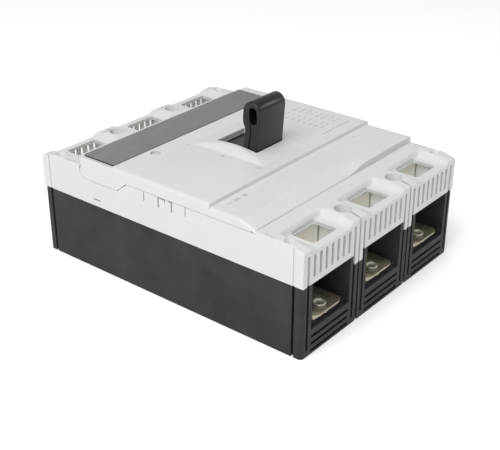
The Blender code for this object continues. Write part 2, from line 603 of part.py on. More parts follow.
def braids():
    """Flexible copper strips that sag between the contact arms and the load terminals."""
    tail = swing((SHAFT_Y - 15.5, SHAFT_Z), (SHAFT_Y, SHAFT_Z), CONTACT_SWING)
    start, steps = (-LOAD_INNER_Y + 1.5, 22.0), 10
    path = []
    for i in range(steps + 1):
        t = i / steps
        sag = 9.0 * 4 * t * (1 - t)
        path.append((start[0] + (tail[0] - start[0]) * t, start[1] + (tail[1] - start[1]) * t - sag))
    upper = [(y, z + 1.4) for y, z in path]
    lower = [(y, z - 1.4) for y, z in reversed(path)]
    for number, x in POLES.items():
        publish(prism("X", upper + lower, x - 5, x + 5), f"flexible_braid_{number}", "copper")


# ---------------------------------------------------------------- mechanism

def on_lever(radius, across=0.0):
    """A (y, z) point at a distance from the lever's pivot, with the lever at off."""
    return swing((PIVOT_Y + across, PIVOT_Z + radius), (PIVOT_Y, PIVOT_Z), OFF_ANGLE)


def knee_point(start, crank):
    """Where the two toggle links meet, folded towards the load end."""
    span = math.dist(start, crank)
    foot = (UPPER_LINK ** 2 - LOWER_LINK ** 2 + span ** 2) / (2 * span)
    rise = math.sqrt(UPPER_LINK ** 2 - foot ** 2)
    u = ((crank[0] - start[0]) / span, (crank[1] - start[1]) / span)
    return (start[0] + foot * u[0] + rise * u[1], start[1] + foot * u[1] - rise * u[0])


def bar_between(start, end, half):
    """Outline of a flat link with round ends."""
    heading = math.degrees(math.atan2(end[1] - start[1], end[0] - start[0]))
    return arc(start, half, heading + 90, heading + 270, 8) + arc(end, half, heading - 90, heading + 90, 8)


def toggle_links():
    top = (LINK_TOP_Y, LINK_TOP_Z)
    crank = swing((SHAFT_Y + CRANK_R, SHAFT_Z), (SHAFT_Y, SHAFT_Z), CRANK_ANGLE_OFF)
    knee = knee_point(top, crank)
    upper = rod("X", (0, *knee), 2.0, 41.2, 16)
    for side in (-1, 1):
        x0, x1 = along(side, 11.5, 13.5)
        cheek = prism("X", bar_between(top, knee, 4.0), x0, x1)
        fuse(upper, cut(cheek, rod("X", (0, *top), 2.4, 60, 16)))
    publish(upper, "upper_link", "steel")
    middle = ((knee[0] + crank[0]) / 2, (knee[1] + crank[1]) / 2)
    slant = math.degrees(math.atan2(crank[1] - knee[1], crank[0] - knee[0]))
    web = [swing((middle[0] + y, middle[1] + z), middle, slant)
           for y, z in ((-3, -1.2), (3, -1.2), (3, 1.2), (-3, 1.2))]
    lower = prism("X", web, -9.5, 9.5)
    for side in (-1, 1):
        x0, x1 = along(side, 8.5, 10.5)
        cheek = prism("X", bar_between(knee, crank, 4.8), x0, x1)
        cut(cheek, rod("X", (0, *knee), 2.4, 60, 16), rod("X", (0, *crank), 3.4, 60, 16))
        fuse(lower, cheek)
    publish(lower, "lower_link", "steel")
    hang(axis_empty("upper_link_axis", *top), upper)
    hang(axis_empty("lower_link_axis", *knee), lower)
    return knee


def cradle():
    outline = [(-36, 68), (16, 70.5), (17, 76), (14, 80.5), (-30, 78.5), (-36, 76)]
    body = rod("X", (0, LINK_TOP_Y, LINK_TOP_Z), 2.0, 31, 16)
    pivot = rod("X", (0, -31, 73), 2.5, 43, 16)
    for side in (-1, 1):
        x0, x1 = along(side, 14.5, 16.0)
        fuse(body, prism("X", outline, x0, x1))
    fuse(body, pivot)
    publish(body, "cradle", "steel")


def mechanism_plates():
    outline = [(-38, FLOOR + GAP), (34, FLOOR + GAP), (34, 60), (20, 80), (-36, 80), (-38, 76)]
    for name, side in (("left", -1), ("right", 1)):
        x0, x1 = along(side, 22.0, 24.0)
        plate = prism("X", outline, x0, x1)
        cut(plate, rod("X", (side * 23, SHAFT_Y, SHAFT_Z), SHAFT_R + SHAFT_ROOM, 8))
        fuse(plate, rod("X", (side * 26, PIVOT_Y, PIVOT_Z), 3.0, 6, 16))
        publish(plate, f"mechanism_plate_{name}", "steel")


def lever_outline():
    """Side view of the handle: upright on the load side, with a swelling on the line side."""
    near, far = on_lever(LEVER_FOOT_R, -LEVER_FOOT_HALF), on_lever(LEVER_FOOT_R, LEVER_FOOT_HALF)
    waist = [(-8.0, 105.0), (-9.2, 113.0), (-9.4, 120.5), (-7.4, 126.5)]
    return [near, far] + waist + arc(LEVER_CROWN, LEVER_CROWN_R, 0, 180, 12)


def lever_set():
    handle = prism("X", lever_outline(), -LEVER_HALF_X, LEVER_HALF_X)
    cut(handle, prism("X", bar_between(HOLE_LOW, HOLE_HIGH, HOLE_R), -30, 30))
    publish(handle, "lever", "lever_black")
    first, last = 90 + OFF_ANGLE - SHIELD_REACH, 90 + OFF_ANGLE + SHIELD_REACH
    pivot = (PIVOT_Y, PIVOT_Z)
    inner_r = SHIELD_R - SHIELD_THICK
    shell = arc(pivot, SHIELD_R, first, last, 20) + arc(pivot, inner_r, last, first, 20)
    shield = prism("X", shell, -SHIELD_HALF_X, SHIELD_HALF_X)
    publish(shield, "lever_shield", "lever_black")
    bridge = [on_lever(64.5, -6), on_lever(64.5, 6), on_lever(67, 6), on_lever(67, -6)]
    post_top = inner_r - 0.4
    post = [on_lever(66, -4), on_lever(66, 4), on_lever(post_top, 4), on_lever(post_top, -4)]
    yoke = fuse(prism("X", bridge, -28, 28), prism("X", post, -14, 14))
    for side in (-1, 1):
        x0, x1 = along(side, 26, 28)
        arm = prism("X", bar_between(pivot, on_lever(61), 6.0), x0, x1)
        fuse(yoke, cut(arm, rod("X", (side * 27, *pivot), 3.4, 8, 16)))
    publish(yoke, "lever_yoke", "steel")
    return [handle, shield, yoke]


def helix(start, end, radius, turns, per_turn, wire):
    """A coil spring between two points, as a wire on a poly line."""
    axis = Vector(end) - Vector(start)
    placed = Matrix.Translation(Vector(start) * MM) @ axis.to_track_quat("Z", "Y").to_matrix().to_4x4()
    curve = bpy.data.curves.new("coil", "CURVE")
    curve.dimensions = "3D"
    curve.bevel_depth = wire * MM
    curve.bevel_resolution = 2
    curve.use_fill_caps = True
    count = int(turns * per_turn)
    spline = curve.splines.new("POLY")
    spline.points.add(count)
    for i, point in enumerate(spline.points):
        a = 2 * math.pi * i / per_turn
        rise = axis.length * i / count
        point.co = (radius * math.cos(a) * MM, radius * math.sin(a) * MM, rise * MM, 1.0)
    return from_curve(curve, placed)


def main_springs(knee):
    hook = on_lever(62.6)
    span = math.dist(hook, knee)
    stop = tuple(a + (b - a) * (span - 3.2) / span for a, b in zip(hook, knee))
    springs = []
    for name, side in (("left", -1), ("right", 1)):
        x = side * 18.8
        coil = helix((x, *hook), (x, *stop), 1.9, 8, 8, 0.45)
        springs.append(publish(coil, f"main_spring_{name}", "steel"))
    return springs


def trip_parts():
    arm_bottom = TRIP_ARM_TOP - 2.8
    bar = rod("X", (0, TRIP_Y, TRIP_Z), TRIP_R, 2 * 97, 12)
    fuse(bar, blocks((BUTTON_X - 2, BUTTON_X + 2, TRIP_Y - 3, TRIP_Y + 3, TRIP_Z, TRIP_ARM_TOP)))
    fuse(bar, blocks((BUTTON_X - 2, BUTTON_X + 2, TRIP_Y, BUTTON_Y + 4, arm_bottom, TRIP_ARM_TOP)))
    publish(bar, "trip_bar", "moulding_brown")
    hang(axis_empty("trip_bar_axis", TRIP_Y, TRIP_Z), bar)
    under, foot = BUTTON_TOP - BUTTON_HEAD, TRIP_ARM_TOP + 0.5
    profile = [(0, BUTTON_TOP), (BUTTON_R - 0.4, BUTTON_TOP), (BUTTON_R, BUTTON_TOP - 0.4),
               (BUTTON_R, under), (PLUNGER_R, under), (PLUNGER_R, foot), (0, foot)]
    publish(turned(profile, (BUTTON_X, BUTTON_Y, 0), 20), "trip_button", "cover_grey")
    coil = helix((BUTTON_X, BUTTON_Y, SEAM_Z + 0.5), (BUTTON_X, BUTTON_Y, under - 0.8), 2.9, 3, 10, 0.35)
    publish(coil, "trip_button_spring", "steel")


clear_scene()
PARTS = new_collection("moulded_case_breaker")
CUTTERS = new_collection("cutters_and_axes")

base_case()
main_cover()
front_cover()
label_strip()
cover_screws()
terminals()
arc_chutes()
magnets_and_bimetals()
contact_system()
braids()
cradle()
mechanism_plates()
lever_pieces = lever_set()
lever_pieces += main_springs(toggle_links())
hang(axis_empty("lever_axis", PIVOT_Y, PIVOT_Z), *lever_pieces)
trip_parts()
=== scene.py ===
# The looks of a three-pole moulded case circuit breaker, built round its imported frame.
# X runs across the poles, +Y points to the line end and +Z out of the front. Sizes are in
# millimetres and are multiplied by MM when a mesh is made.

import json
import math

import bmesh
import bpy
from mathutils import Matrix, Vector


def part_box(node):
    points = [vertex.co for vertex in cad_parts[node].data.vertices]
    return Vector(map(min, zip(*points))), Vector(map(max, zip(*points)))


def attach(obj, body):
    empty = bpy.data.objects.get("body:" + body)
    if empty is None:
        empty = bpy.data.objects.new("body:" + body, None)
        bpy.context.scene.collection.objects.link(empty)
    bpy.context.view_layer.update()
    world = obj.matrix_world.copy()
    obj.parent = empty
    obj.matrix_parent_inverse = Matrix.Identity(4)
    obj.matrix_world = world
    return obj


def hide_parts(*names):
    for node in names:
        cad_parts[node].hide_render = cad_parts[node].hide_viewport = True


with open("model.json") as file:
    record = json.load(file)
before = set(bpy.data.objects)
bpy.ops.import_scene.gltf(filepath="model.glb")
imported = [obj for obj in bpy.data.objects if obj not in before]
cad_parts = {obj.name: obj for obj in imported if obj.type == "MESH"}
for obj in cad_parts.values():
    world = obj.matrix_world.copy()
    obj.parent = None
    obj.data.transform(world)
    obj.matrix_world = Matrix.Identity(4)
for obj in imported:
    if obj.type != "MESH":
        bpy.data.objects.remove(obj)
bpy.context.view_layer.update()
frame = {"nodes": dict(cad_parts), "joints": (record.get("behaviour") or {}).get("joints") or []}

MM = 0.001


def node_box(name):
    """Lowest and highest corner of a CAD node, in millimetres."""
    low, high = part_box(name)
    return low / MM, high / MM


def middle_of(name):
    """Where the middle of a CAD node lies across and along the breaker."""
    low, high = node_box(name)
    return (low.x + high.x) / 2, (low.y + high.y) / 2


# ---------------------------------------------------------------- sizes read from the frame

BASE_TOP = node_box("base_case")[1].z
COVER_HIGH = node_box("main_cover")[1]
FRONT_LOW, FRONT_HIGH = node_box("front_cover")
STRIP_LOW, STRIP_HIGH = node_box("label_strip")
LEVER_HALF = node_box("lever")[1].x
SHIELD_LOW, SHIELD_HIGH = node_box("lever_shield")
BUTTON_LOW, BUTTON_HIGH = node_box("trip_button")
BUTTON_MIDDLE = middle_of("trip_button")
BAR_HIGH = node_box("load_terminal_2")[1]
NUT_Y = abs(middle_of("load_nut_2")[1])

HALF_W, HALF_L = COVER_HIGH.x, COVER_HIGH.y
TERMINAL_TOP, HUMP_TOP = COVER_HIGH.z, FRONT_HIGH.z
POLES = {number: middle_of(f"load_terminal_{number}")[0] for number in (1, 2, 3)}
ENDS = {"load": -1, "line": 1}
PIVOT = Vector(next(j["pos_m"] for j in frame["joints"] if j["name"] == "lever_turn")) / MM

# ---------------------------------------------------------------- sizes of the details

GAP = 0.3    # clearance between neighbouring pieces
OVER = 1.0   # how far a cutter reaches past the face that it opens
COVER_BOTTOM = BASE_TOP + GAP

# The whole casing
CORNER_ROUND = 3.4
SEAM_Z = 89.0                                   # where the front cover sits on the main cover
CELL_HALF, CELL_END = 30.0, 100.0               # the hollow of each pole
CHAMBER_HALF, CHAMBER_IN = 24.0, 104.0          # the open room at each terminal
MOUNT_X, MOUNT_Y, MOUNT_R = 35.0, 117.5, 6.8
CORNER_X, CORNER_Y, CORNER_R = 99.2, 117.5, 4.3
BARRIER_SLOT = 2.0
SIDE_SLOT, SIDE_SLOT_OFFSET = 2.6, 28.8
SLOT_DEPTH = 3.5                                # of the shallow slots in the end faces
FINGER_HALF, FINGER_Z, FINGER_DEPTH = 5.0, 51.0, 3.0
SLIT_Y = 125.6
SCREW_BORE_R = 2.2
BAR_NOTCH_HALF = 5.5                            # where the crossbar and trip bar pass between poles

# The base
LEDGE = 18.0                                    # floor of the cells and of the terminal seats
WELL_Z, WELL_Y0, WELL_Y1 = 5.0, -48.0, 50.0     # the deeper floor under the mechanism
SILL_Z, SILL_THICK = 21.0, 3.0
SILL_SLOTS, SILL_SLOT_HALF = (14.6, 8.7, 2.8), 1.2
SIDE_SLOT_FOOT = 5.0
NUT_POCKET_R = 6.7
CROSSBAR_Y0, CROSSBAR_Y1, CROSSBAR_Z = 10.4, 29.6, 24.4
MOUNT_BORE_R, MOUNT_SEAT_Z = 3.4, 36.0
SCREW_BORE_Z = 33.0

# The main cover
END_EDGE_Z, END_SLOPE = 87.4, 12.0
END_ROUND, SIDE_ROUND = 1.3, 1.1
DISH_IN_Y, DISH_RUN, DISH_FLOOR_Z = 103.6, 4.6, 85.2
DISH_FLOOR_HALF, DISH_RIM_HALF = 17.8, 27.2
CHAMBER_CEILING, COVER_CEILING = 82.4, 85.7
PANEL_THICK = 2.0
ACCESS_Y0, ACCESS_Y1, ACCESS_LEFT = 106.5, 127.4, 14.2
ACCESS_RIGHT = {"load": 14.2, "line": 17.4}
ACCESS_ROUND, ACCESS_LIP, ACCESS_LIP_THICK = 2.8, 1.0, 1.4
VENTS, VENT_PITCH, VENT_WIDTH, VENT_Z0, VENT_Z1 = 7, 7.15, 3.0, 64.2, 82.0
TRIP_BAR_Y0, TRIP_BAR_Y1, TRIP_BAR_TOP = -52.0, -36.0, 81.0
MECHANISM_HALF, MECHANISM_Y0, MECHANISM_Y1 = 29.5, -48.0, 44.5
CORNER_RECESS_Z = 62.0
SIDE_SLOT_TOP = 83.0
STEM_BORE_R, STEM_BORE_Z = 2.6, 80.0            # where the button's stem passes

# The front cover
FRONT_Y0, FRONT_Y1, STEP_Y = FRONT_LOW.y, FRONT_HIGH.y, -48.4
LEVEL_A, LEVEL_B = 98.8, 95.8                   # the two flat levels, line side and load side
WALL = 3.0
FRONT_ROUND = 3.4
FAR_TOP_Y = 86.5                                # the far face leans back to here at the top
RAMP_TOP_Y, RAMP_END_Z, RAMP_X0, RAMP_X1 = -77.0, 91.3, 9.0, 39.0
HUMP_HALF_X, HUMP_HALF_Y, HUMP_MID_Y, HUMP_SLOPE = 29.0, 37.0, -1.8, 8.5
WINDOW_HALF_X, WINDOW_Y0, WINDOW_Y1 = 17.6, -22.8, 18.8

# The lever and its guard, at off
OFF_ANGLE = 9.05
GUARD_RADIUS, GUARD_THICK, GUARD_HALF_ANGLE = 77.0, 2.0, 26.0
POCKET_HALF = 3.9
GROOVE_DEPTH = 0.9

# The terminals
TAB_FOOT_Y, TAB_BOTTOM, TAB_EDGE = 109.7, 24.4, 1.3
TAB_RISER = 8.0
TAB_HOLE_R = 5.5


# ---------------------------------------------------------------- mesh helpers

def new_object(name, mesh):
    """Put a mesh into the scene as an object."""
    piece = bpy.data.objects.new(name, mesh)
    bpy.context.scene.collection.objects.link(piece)
    return piece


def from_bmesh(name, build):
    """Turn a finished bmesh into an object, with its faces turned outwards."""
    bmesh.ops.recalc_face_normals(build, faces=build.faces)
    mesh = bpy.data.meshes.new(name)
    build.to_mesh(mesh)
    build.free()
    return new_object(name, mesh)


def block(x0, x1, y0, y1, z0, z1):
    """A plain box between two corners."""
    build = bmesh.new()
    size = Matrix.Diagonal((abs(x1 - x0) * MM, abs(y1 - y0) * MM, abs(z1 - z0) * MM, 1.0))
    middle = Vector((x0 + x1, y0 + y1, z0 + z1)) * (MM / 2)
    bmesh.ops.create_cube(build, size=1.0, matrix=Matrix.Translation(middle) @ size)
    return from_bmesh("block", build)


# Each turns a shape drawn on X and Y and pushed along Z to face the named axis
AXES = {
    "X": Matrix(((0, 0, 1, 0), (1, 0, 0, 0), (0, 1, 0, 0), (0, 0, 0, 1))),
    "Y": Matrix(((1, 0, 0, 0), (0, 0, -1, 0), (0, 1, 0, 0), (0, 0, 0, 1))),
    "Z": Matrix.Identity(4),
}


def prism(axis, outline, start, end, rim=0.0, steps=3):
    """An outline pushed along an axis: (y, z) along X, (x, z) along Y, (x, y) along Z.

    rim rounds the edges of both end faces.
    """
    if axis == "Y":
        start, end = -end, -start
    build = bmesh.new()
    verts = [build.verts.new((a * MM, b * MM, start * MM)) for a, b in outline]
    face = build.faces.new(verts)
    pushed = bmesh.ops.extrude_face_region(build, geom=[face])
    top = [g for g in pushed["geom"] if isinstance(g, bmesh.types.BMVert)]
    bmesh.ops.translate(build, verts=top, vec=(0, 0, (end - start) * MM))
    if rim:
        edges = {e for f in build.faces if len(f.verts) == len(outline) for e in f.edges}
        bmesh.ops.bevel(build, geom=list(edges), offset=rim * MM, segments=steps, profile=0.5,
                        affect="EDGES", clamp_overlap=True)
    bmesh.ops.transform(build, matrix=AXES[axis], verts=build.verts)
    return from_bmesh("prism", build)


def arc(centre, radius, start, end, steps):
    """Points of an arc, angles in degrees from the first axis towards the second."""
    angles = [math.radians(start + (end - start) * i / steps) for i in range(steps + 1)]
    return [(centre[0] + radius * math.cos(a), centre[1] + radius * math.sin(a)) for a in angles]


def rounded_box(a0, a1, b0, b1, radius, steps=5):
    """Outline of a rectangle with round corners."""
    corners = ((a1 - radius, b0 + radius, -90), (a1 - radius, b1 - radius, 0),
               (a0 + radius, b1 - radius, 90), (a0 + radius, b0 + radius, 180))
    return [p for a, b, turn in corners for p in arc((a, b), radius, turn, turn + 90, steps)]


def disc(x, y, radius, steps=40):
    """Outline of a circle."""
    return arc((x, y), radius, 0, 360 * (steps - 1) / steps, steps - 1)


def relief(xs, ys, height, low, corner=0.0):
    """A closed block whose top follows height(x, y) over a grid of lines.

    corner rounds its four upright edges.
    """
    build = bmesh.new()
    grid = [[build.verts.new((x * MM, y * MM, height(x, y) * MM)) for y in ys] for x in xs]
    for a, b in zip(grid, grid[1:]):
        for i in range(len(ys) - 1):
            build.faces.new((a[i], b[i], b[i + 1], a[i + 1]))
    rim = ([grid[i][0] for i in range(len(xs))] + [grid[-1][j] for j in range(1, len(ys))]
           + [grid[i][-1] for i in range(len(xs) - 2, -1, -1)]
           + [grid[0][j] for j in range(len(ys) - 2, 0, -1)])
    foot = [build.verts.new((v.co.x, v.co.y, low * MM)) for v in rim]
    count = len(rim)
    for i in range(count):
        j = (i + 1) % count
        build.faces.new((rim[j], rim[i], foot[i], foot[j]))
    build.faces.new(foot)
    if corner:
        tops = {grid[0][0], grid[0][-1], grid[-1][0], grid[-1][-1]}
        tall = 5 * MM
        edges = [e for e in build.edges if len(tops & set(e.verts)) == 1
                 and abs(e.verts[0].co.z - e.verts[1].co.z) > tall]
        bmesh.ops.bevel(build, geom=edges, offset=corner * MM, segments=4, profile=0.5, affect="EDGES")
    return from_bmesh("relief", build)


def spread(*stops):
    """Grid lines: each stop is (position, how many steps lead to the next one)."""
    lines = []
    for (a, count), (b, _) in zip(stops, stops[1:]):
        lines += [a + (b - a) * i / count for i in range(count)]
    return lines + [stops[-1][0]]


def mirrored(lines):
    """Grid lines on both sides of the middle."""
    return sorted({round(v, 4) for v in lines} | {round(-v, 4) for v in lines})


def roll(distance, radius):
    """How far a rounded edge has dropped at this distance from it."""
    gap = max(0.0, radius - max(0.0, distance))
    return radius - math.sqrt(max(0.0, radius * radius - gap * gap))


def ease(value, start, end):
    """0 before start, 1 after end, and smooth between them."""
    t = min(1.0, max(0.0, (value - start) / (end - start)))
    return t * t * (3 - 2 * t)


def combine(target, operation, others):
    """Join or cut a piece with others in one exact step, and keep only the result."""
    group = bpy.data.collections.new("cutters")
    bpy.context.scene.collection.children.link(group)
    for other in others:
        bpy.context.scene.collection.objects.unlink(other)
        group.objects.link(other)
    step = target.modifiers.new("step", "BOOLEAN")
    step.operation = operation
    step.solver = "EXACT"
    step.operand_type = "COLLECTION"
    step.collection = group
    bake(target)
    for other in others:
        bpy.data.objects.remove(other, do_unlink=True)
    bpy.data.collections.remove(group)
    return target


def cut(target, *others):
    """Take other pieces away from a piece."""
    return combine(target, "DIFFERENCE", others)


def fuse(target, *others):
    """Join other pieces to a piece."""
    return combine(target, "UNION", others)


def bake(target):
    """Turn a piece's modifiers into its mesh."""
    bpy.context.view_layer.update()
    graph = bpy.context.evaluated_depsgraph_get()
    mesh = bpy.data.meshes.new_from_object(target.evaluated_get(graph))
    target.modifiers.clear()
    old = target.data
    target.data = mesh
    bpy.data.meshes.remove(old)
    return target


def soften(target, width, angle=40, segments=2):
    """Round the sharp edges of a piece."""
    step = target.modifiers.new("round", "BEVEL")
    step.width = width * MM
    step.segments = segments
    step.limit_method = "ANGLE"
    step.angle_limit = math.radians(angle)
    step.use_clamp_overlap = True
    return bake(target)


def along(sign, y0, y1):
    """A Y span given for the line end, taken to either end."""
    return tuple(sorted((sign * y0, sign * y1)))


def publish(piece, name, body, slot, material, *nodes, angle=35):
    """Name a finished piece, shade it and hang it on its body."""
    piece.name = piece.data.name = name
    piece.data.materials.clear()
    piece.data.materials.append(material)
    piece.data.shade_smooth()
    piece.data.set_sharp_from_angle(angle=math.radians(angle))
    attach(piece, body)
    if nodes:
        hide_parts(*nodes)
    return piece


# ---------------------------------------------------------------- materials

NOISE_LOW, NOISE_HIGH = 0.3, 0.7     # most of a noise texture's values lie between these
EDGE_START, EDGE_FULL = 0.98, 0.80   # cosines between the true and the rounded normal at an edge
GRAIN_DEPTH = 0.3


def node(tree, kind, **values):
    """Add a shader node, with its inputs and settings given by name."""
    made = tree.nodes.new(kind)
    for key, value in values.items():
        if key in made.inputs:
            made.inputs[key].default_value = value
        else:
            setattr(made, key, value)
    return made


def worn(tree, edge, patches, colour, wear, wear_colour):
    """Mix a worn colour into the sharp edges, broken up by the patches."""
    link = tree.links.new
    flat = node(tree, "ShaderNodeNewGeometry")
    sharp = node(tree, "ShaderNodeVectorMath", operation="DOT_PRODUCT")
    link(edge.outputs["Normal"], sharp.inputs[0])
    link(flat.outputs["Normal"], sharp.inputs[1])
    mask = node(tree, "ShaderNodeMapRange")
    mask.inputs["From Min"].default_value = EDGE_START
    mask.inputs["From Max"].default_value = EDGE_FULL
    mask.inputs["To Max"].default_value = wear
    link(sharp.outputs["Value"], mask.inputs["Value"])
    broken = node(tree, "ShaderNodeMath", operation="MULTIPLY")
    link(mask.outputs["Result"], broken.inputs[0])
    link(patches.outputs["Fac"], broken.inputs[1])
    mixed = node(tree, "ShaderNodeMix", data_type="RGBA")
    link(broken.outputs["Value"], mixed.inputs["Factor"])
    link(colour, mixed.inputs["A"])
    mixed.inputs["B"].default_value = (*wear_colour, 1.0)
    return mixed.outputs["Result"]


def surface(name, colour, roughness, metallic=0.0, grain=900.0, bump=0.03, mottle=0.06,
            blotch=26.0, wear=0.0, wear_colour=(0.6, 0.6, 0.6), round_edges=0.35, spread_rough=0.12,
            stretch=(1, 1, 1), specular=0.5):
    """A moulded or metal surface: mottled colour, uneven gloss, a fine grain and worn edges."""
    material = bpy.data.materials.new(name)
    material.use_nodes = True
    tree = material.node_tree
    shader = tree.nodes["Principled BSDF"]
    shader.inputs["Metallic"].default_value = metallic
    shader.inputs["Specular IOR Level"].default_value = specular
    link = tree.links.new
    place = node(tree, "ShaderNodeTexCoord")
    scaled = node(tree, "ShaderNodeMapping", Scale=stretch)
    link(place.outputs["Object"], scaled.inputs["Vector"])

    patches = node(tree, "ShaderNodeTexNoise", Scale=blotch, Detail=5.0, Roughness=0.6)
    link(scaled.outputs["Vector"], patches.inputs["Vector"])
    tone = node(tree, "ShaderNodeMapRange")
    tone.inputs["From Min"].default_value = NOISE_LOW
    tone.inputs["From Max"].default_value = NOISE_HIGH
    tone.inputs["To Min"].default_value = 1 - mottle
    tone.inputs["To Max"].default_value = 1 + mottle
    link(patches.outputs["Fac"], tone.inputs["Value"])
    tinted = node(tree, "ShaderNodeVectorMath", operation="SCALE")
    tinted.inputs[0].default_value = colour
    link(tone.outputs["Result"], tinted.inputs["Scale"])
    colour_out = tinted.outputs["Vector"]

    fine = node(tree, "ShaderNodeTexNoise", Scale=grain, Detail=3.0, Roughness=0.55)
    link(scaled.outputs["Vector"], fine.inputs["Vector"])
    gloss = node(tree, "ShaderNodeMapRange")
    gloss.inputs["To Min"].default_value = max(0.05, roughness - spread_rough)
    gloss.inputs["To Max"].default_value = min(1.0, roughness + spread_rough)
    link(patches.outputs["Fac"], gloss.inputs["Value"])
    link(gloss.outputs["Result"], shader.inputs["Roughness"])

    edge = node(tree, "ShaderNodeBevel", samples=4)
    edge.inputs["Radius"].default_value = round_edges * MM
    relief_bump = node(tree, "ShaderNodeBump", Strength=bump)
    relief_bump.inputs["Distance"].default_value = GRAIN_DEPTH * MM
    link(fine.outputs["Fac"], relief_bump.inputs["Height"])
    link(edge.outputs["Normal"], relief_bump.inputs["Normal"])
    link(relief_bump.outputs["Normal"], shader.inputs["Normal"])

    if wear:
        colour_out = worn(tree, edge, patches, colour_out, wear, wear_colour)
    link(colour_out, shader.inputs["Base Color"])
    return material


COVER = surface("cover_moulding", (0.595, 0.61, 0.59), 0.45, mottle=0.012, bump=0.05, grain=1400,
                wear=0.25, wear_colour=(0.80, 0.81, 0.80))
BASE = surface("base_moulding", (0.026, 0.026, 0.0265), 0.55, mottle=0.42, bump=0.16, grain=1100,
               blotch=30, wear=0.5, wear_colour=(0.12, 0.12, 0.12), specular=0.22)
# Cream back wall of each chamber: its own cream tone, with the brightness raised as painted light
INSULATOR_CREAM_AND_PAINTED_LIGHT = surface("chamber_back_cream_and_painted_light", (0.93, 0.90, 0.78), 0.5, mottle=0.02, bump=0.05)
# Chamber side walls and screw recesses: the cover plastic painted much lighter, as painted light in the
# recesses
RECESS_PAINTED_LIGHT = surface("recess_wall_painted_light", (0.90, 0.91, 0.89), 0.5, mottle=0.02, bump=0.05)
# Mounting-hole walls: the cover plastic painted lighter, as painted light inside the holes
BORE_PAINTED_LIGHT = surface("bore_wall_painted_light", (0.76, 0.78, 0.77), 0.5, mottle=0.02, bump=0.05)
STRIP = surface("label_plate", (0.175, 0.176, 0.172), 0.42, mottle=0.09, bump=0.08, grain=1800,
                blotch=90, stretch=(0.35, 1, 1), wear=0.3, wear_colour=(0.3, 0.3, 0.3))
LEVER = surface("lever_moulding", (0.0075, 0.007, 0.007), 0.30, mottle=0.10, bump=0.10, grain=900,
                wear=0.6, wear_colour=(0.10, 0.10, 0.10))
SHIELD = surface("shield_moulding", (0.04, 0.04, 0.041), 0.45, mottle=0.08, bump=0.08)
BUTTON = surface("button_moulding", (0.56, 0.57, 0.55), 0.4, mottle=0.02)
SCALE = surface("scale_plate", (0.60, 0.62, 0.55), 0.5, mottle=0.05)
PRINT = surface("printed_grey", (0.44, 0.45, 0.45), 0.55, mottle=0.05)
TIN = surface("tinned_copper", (0.38, 0.348, 0.262), 0.32, metallic=0.85, mottle=0.16, blotch=70,
              grain=700, bump=0.06, wear=0.45, wear_colour=(0.78, 0.76, 0.68))
NUT = surface("nut_steel", (0.56, 0.55, 0.47), 0.40, metallic=0.45, mottle=0.08, blotch=90, bump=0.05,
              wear=0.4, wear_colour=(0.85, 0.84, 0.78))
STEEL = surface("plated_steel", (0.52, 0.53, 0.54), 0.34, metallic=1.0, mottle=0.06, blotch=50,
                stretch=(1, 1, 6), bump=0.06, wear=0.4, wear_colour=(0.8, 0.8, 0.8))
SPRING = surface("spring_steel", (0.40, 0.40, 0.41), 0.30, metallic=1.0, mottle=0.10, blotch=120)
COPPER = surface("bare_copper", (0.62, 0.30, 0.17), 0.34, metallic=1.0, mottle=0.12, blotch=60,
                 wear=0.4, wear_colour=(0.85, 0.55, 0.40))
BIMETAL = surface("bimetal_strip", (0.55, 0.50, 0.38), 0.30, metallic=1.0, mottle=0.06, stretch=(8, 1, 1))
FIBRE = surface("arc_fibre", (0.36, 0.24, 0.15), 0.8, mottle=0.14, blotch=120, bump=0.2, grain=500)
BROWN = surface("inner_moulding", (0.12, 0.07, 0.045), 0.5, mottle=0.12, bump=0.1)


# ---------------------------------------------------------------- base

def six_chambers(half_x, y0, y1, z0, z1):
    """The same block at the three poles of both ends."""
    return [block(x - half_x, x + half_x, *along(sign, y0, y1), z0, z1)
            for x in POLES.values() for sign in ENDS.values()]


def four_corners(x, y, radius, z0, z1):
    """The same upright cylinder at four mirrored places."""
    return [prism("Z", disc(sx * x, sy * y, radius), z0, z1) for sx in (-1, 1) for sy in (-1, 1)]


def end_slots(z0, z1, side_foot, side_top):
    """Upright slots in both end faces: a deep one between poles, a shallow one beside each chamber."""
    made = []
    side_half = SIDE_SLOT / 2
    for sign in ENDS.values():
        deep = along(sign, MOUNT_Y, HALF_L + OVER)
        shallow = along(sign, HALF_L - SLOT_DEPTH, HALF_L + OVER)
        made += [block(x - BARRIER_SLOT / 2, x + BARRIER_SLOT / 2, *deep, z0, z1)
                 for x in (-MOUNT_X, MOUNT_X)]
        for middle in [x + side * SIDE_SLOT_OFFSET for x in POLES.values() for side in (-1, 1)]:
            made.append(block(middle - side_half, middle + side_half, *shallow, side_foot, side_top))
    return made


def side_slits(half, deep, z0, z1):
    """Upright slits in both long sides, near the ends."""
    return [block(*along(side, HALF_W - deep, HALF_W + OVER),
                  *along(sign, SLIT_Y - half, SLIT_Y + half), z0, z1)
            for sign in (-1, 1) for side in (-1, 1)]


def foot_chamfers():
    """Small bevels under the ends of the base, beside each barrier slot."""
    wide, narrow, tall, back = 2.8, 0.6, 1.8, 6.0
    return [prism("Y", [(x - wide, -OVER), (x + wide, -OVER), (x + narrow, tall), (x - narrow, tall)],
                  *along(sign, MOUNT_Y + back, HALF_L + OVER))
            for x in (-MOUNT_X, MOUNT_X) for sign in ENDS.values()]


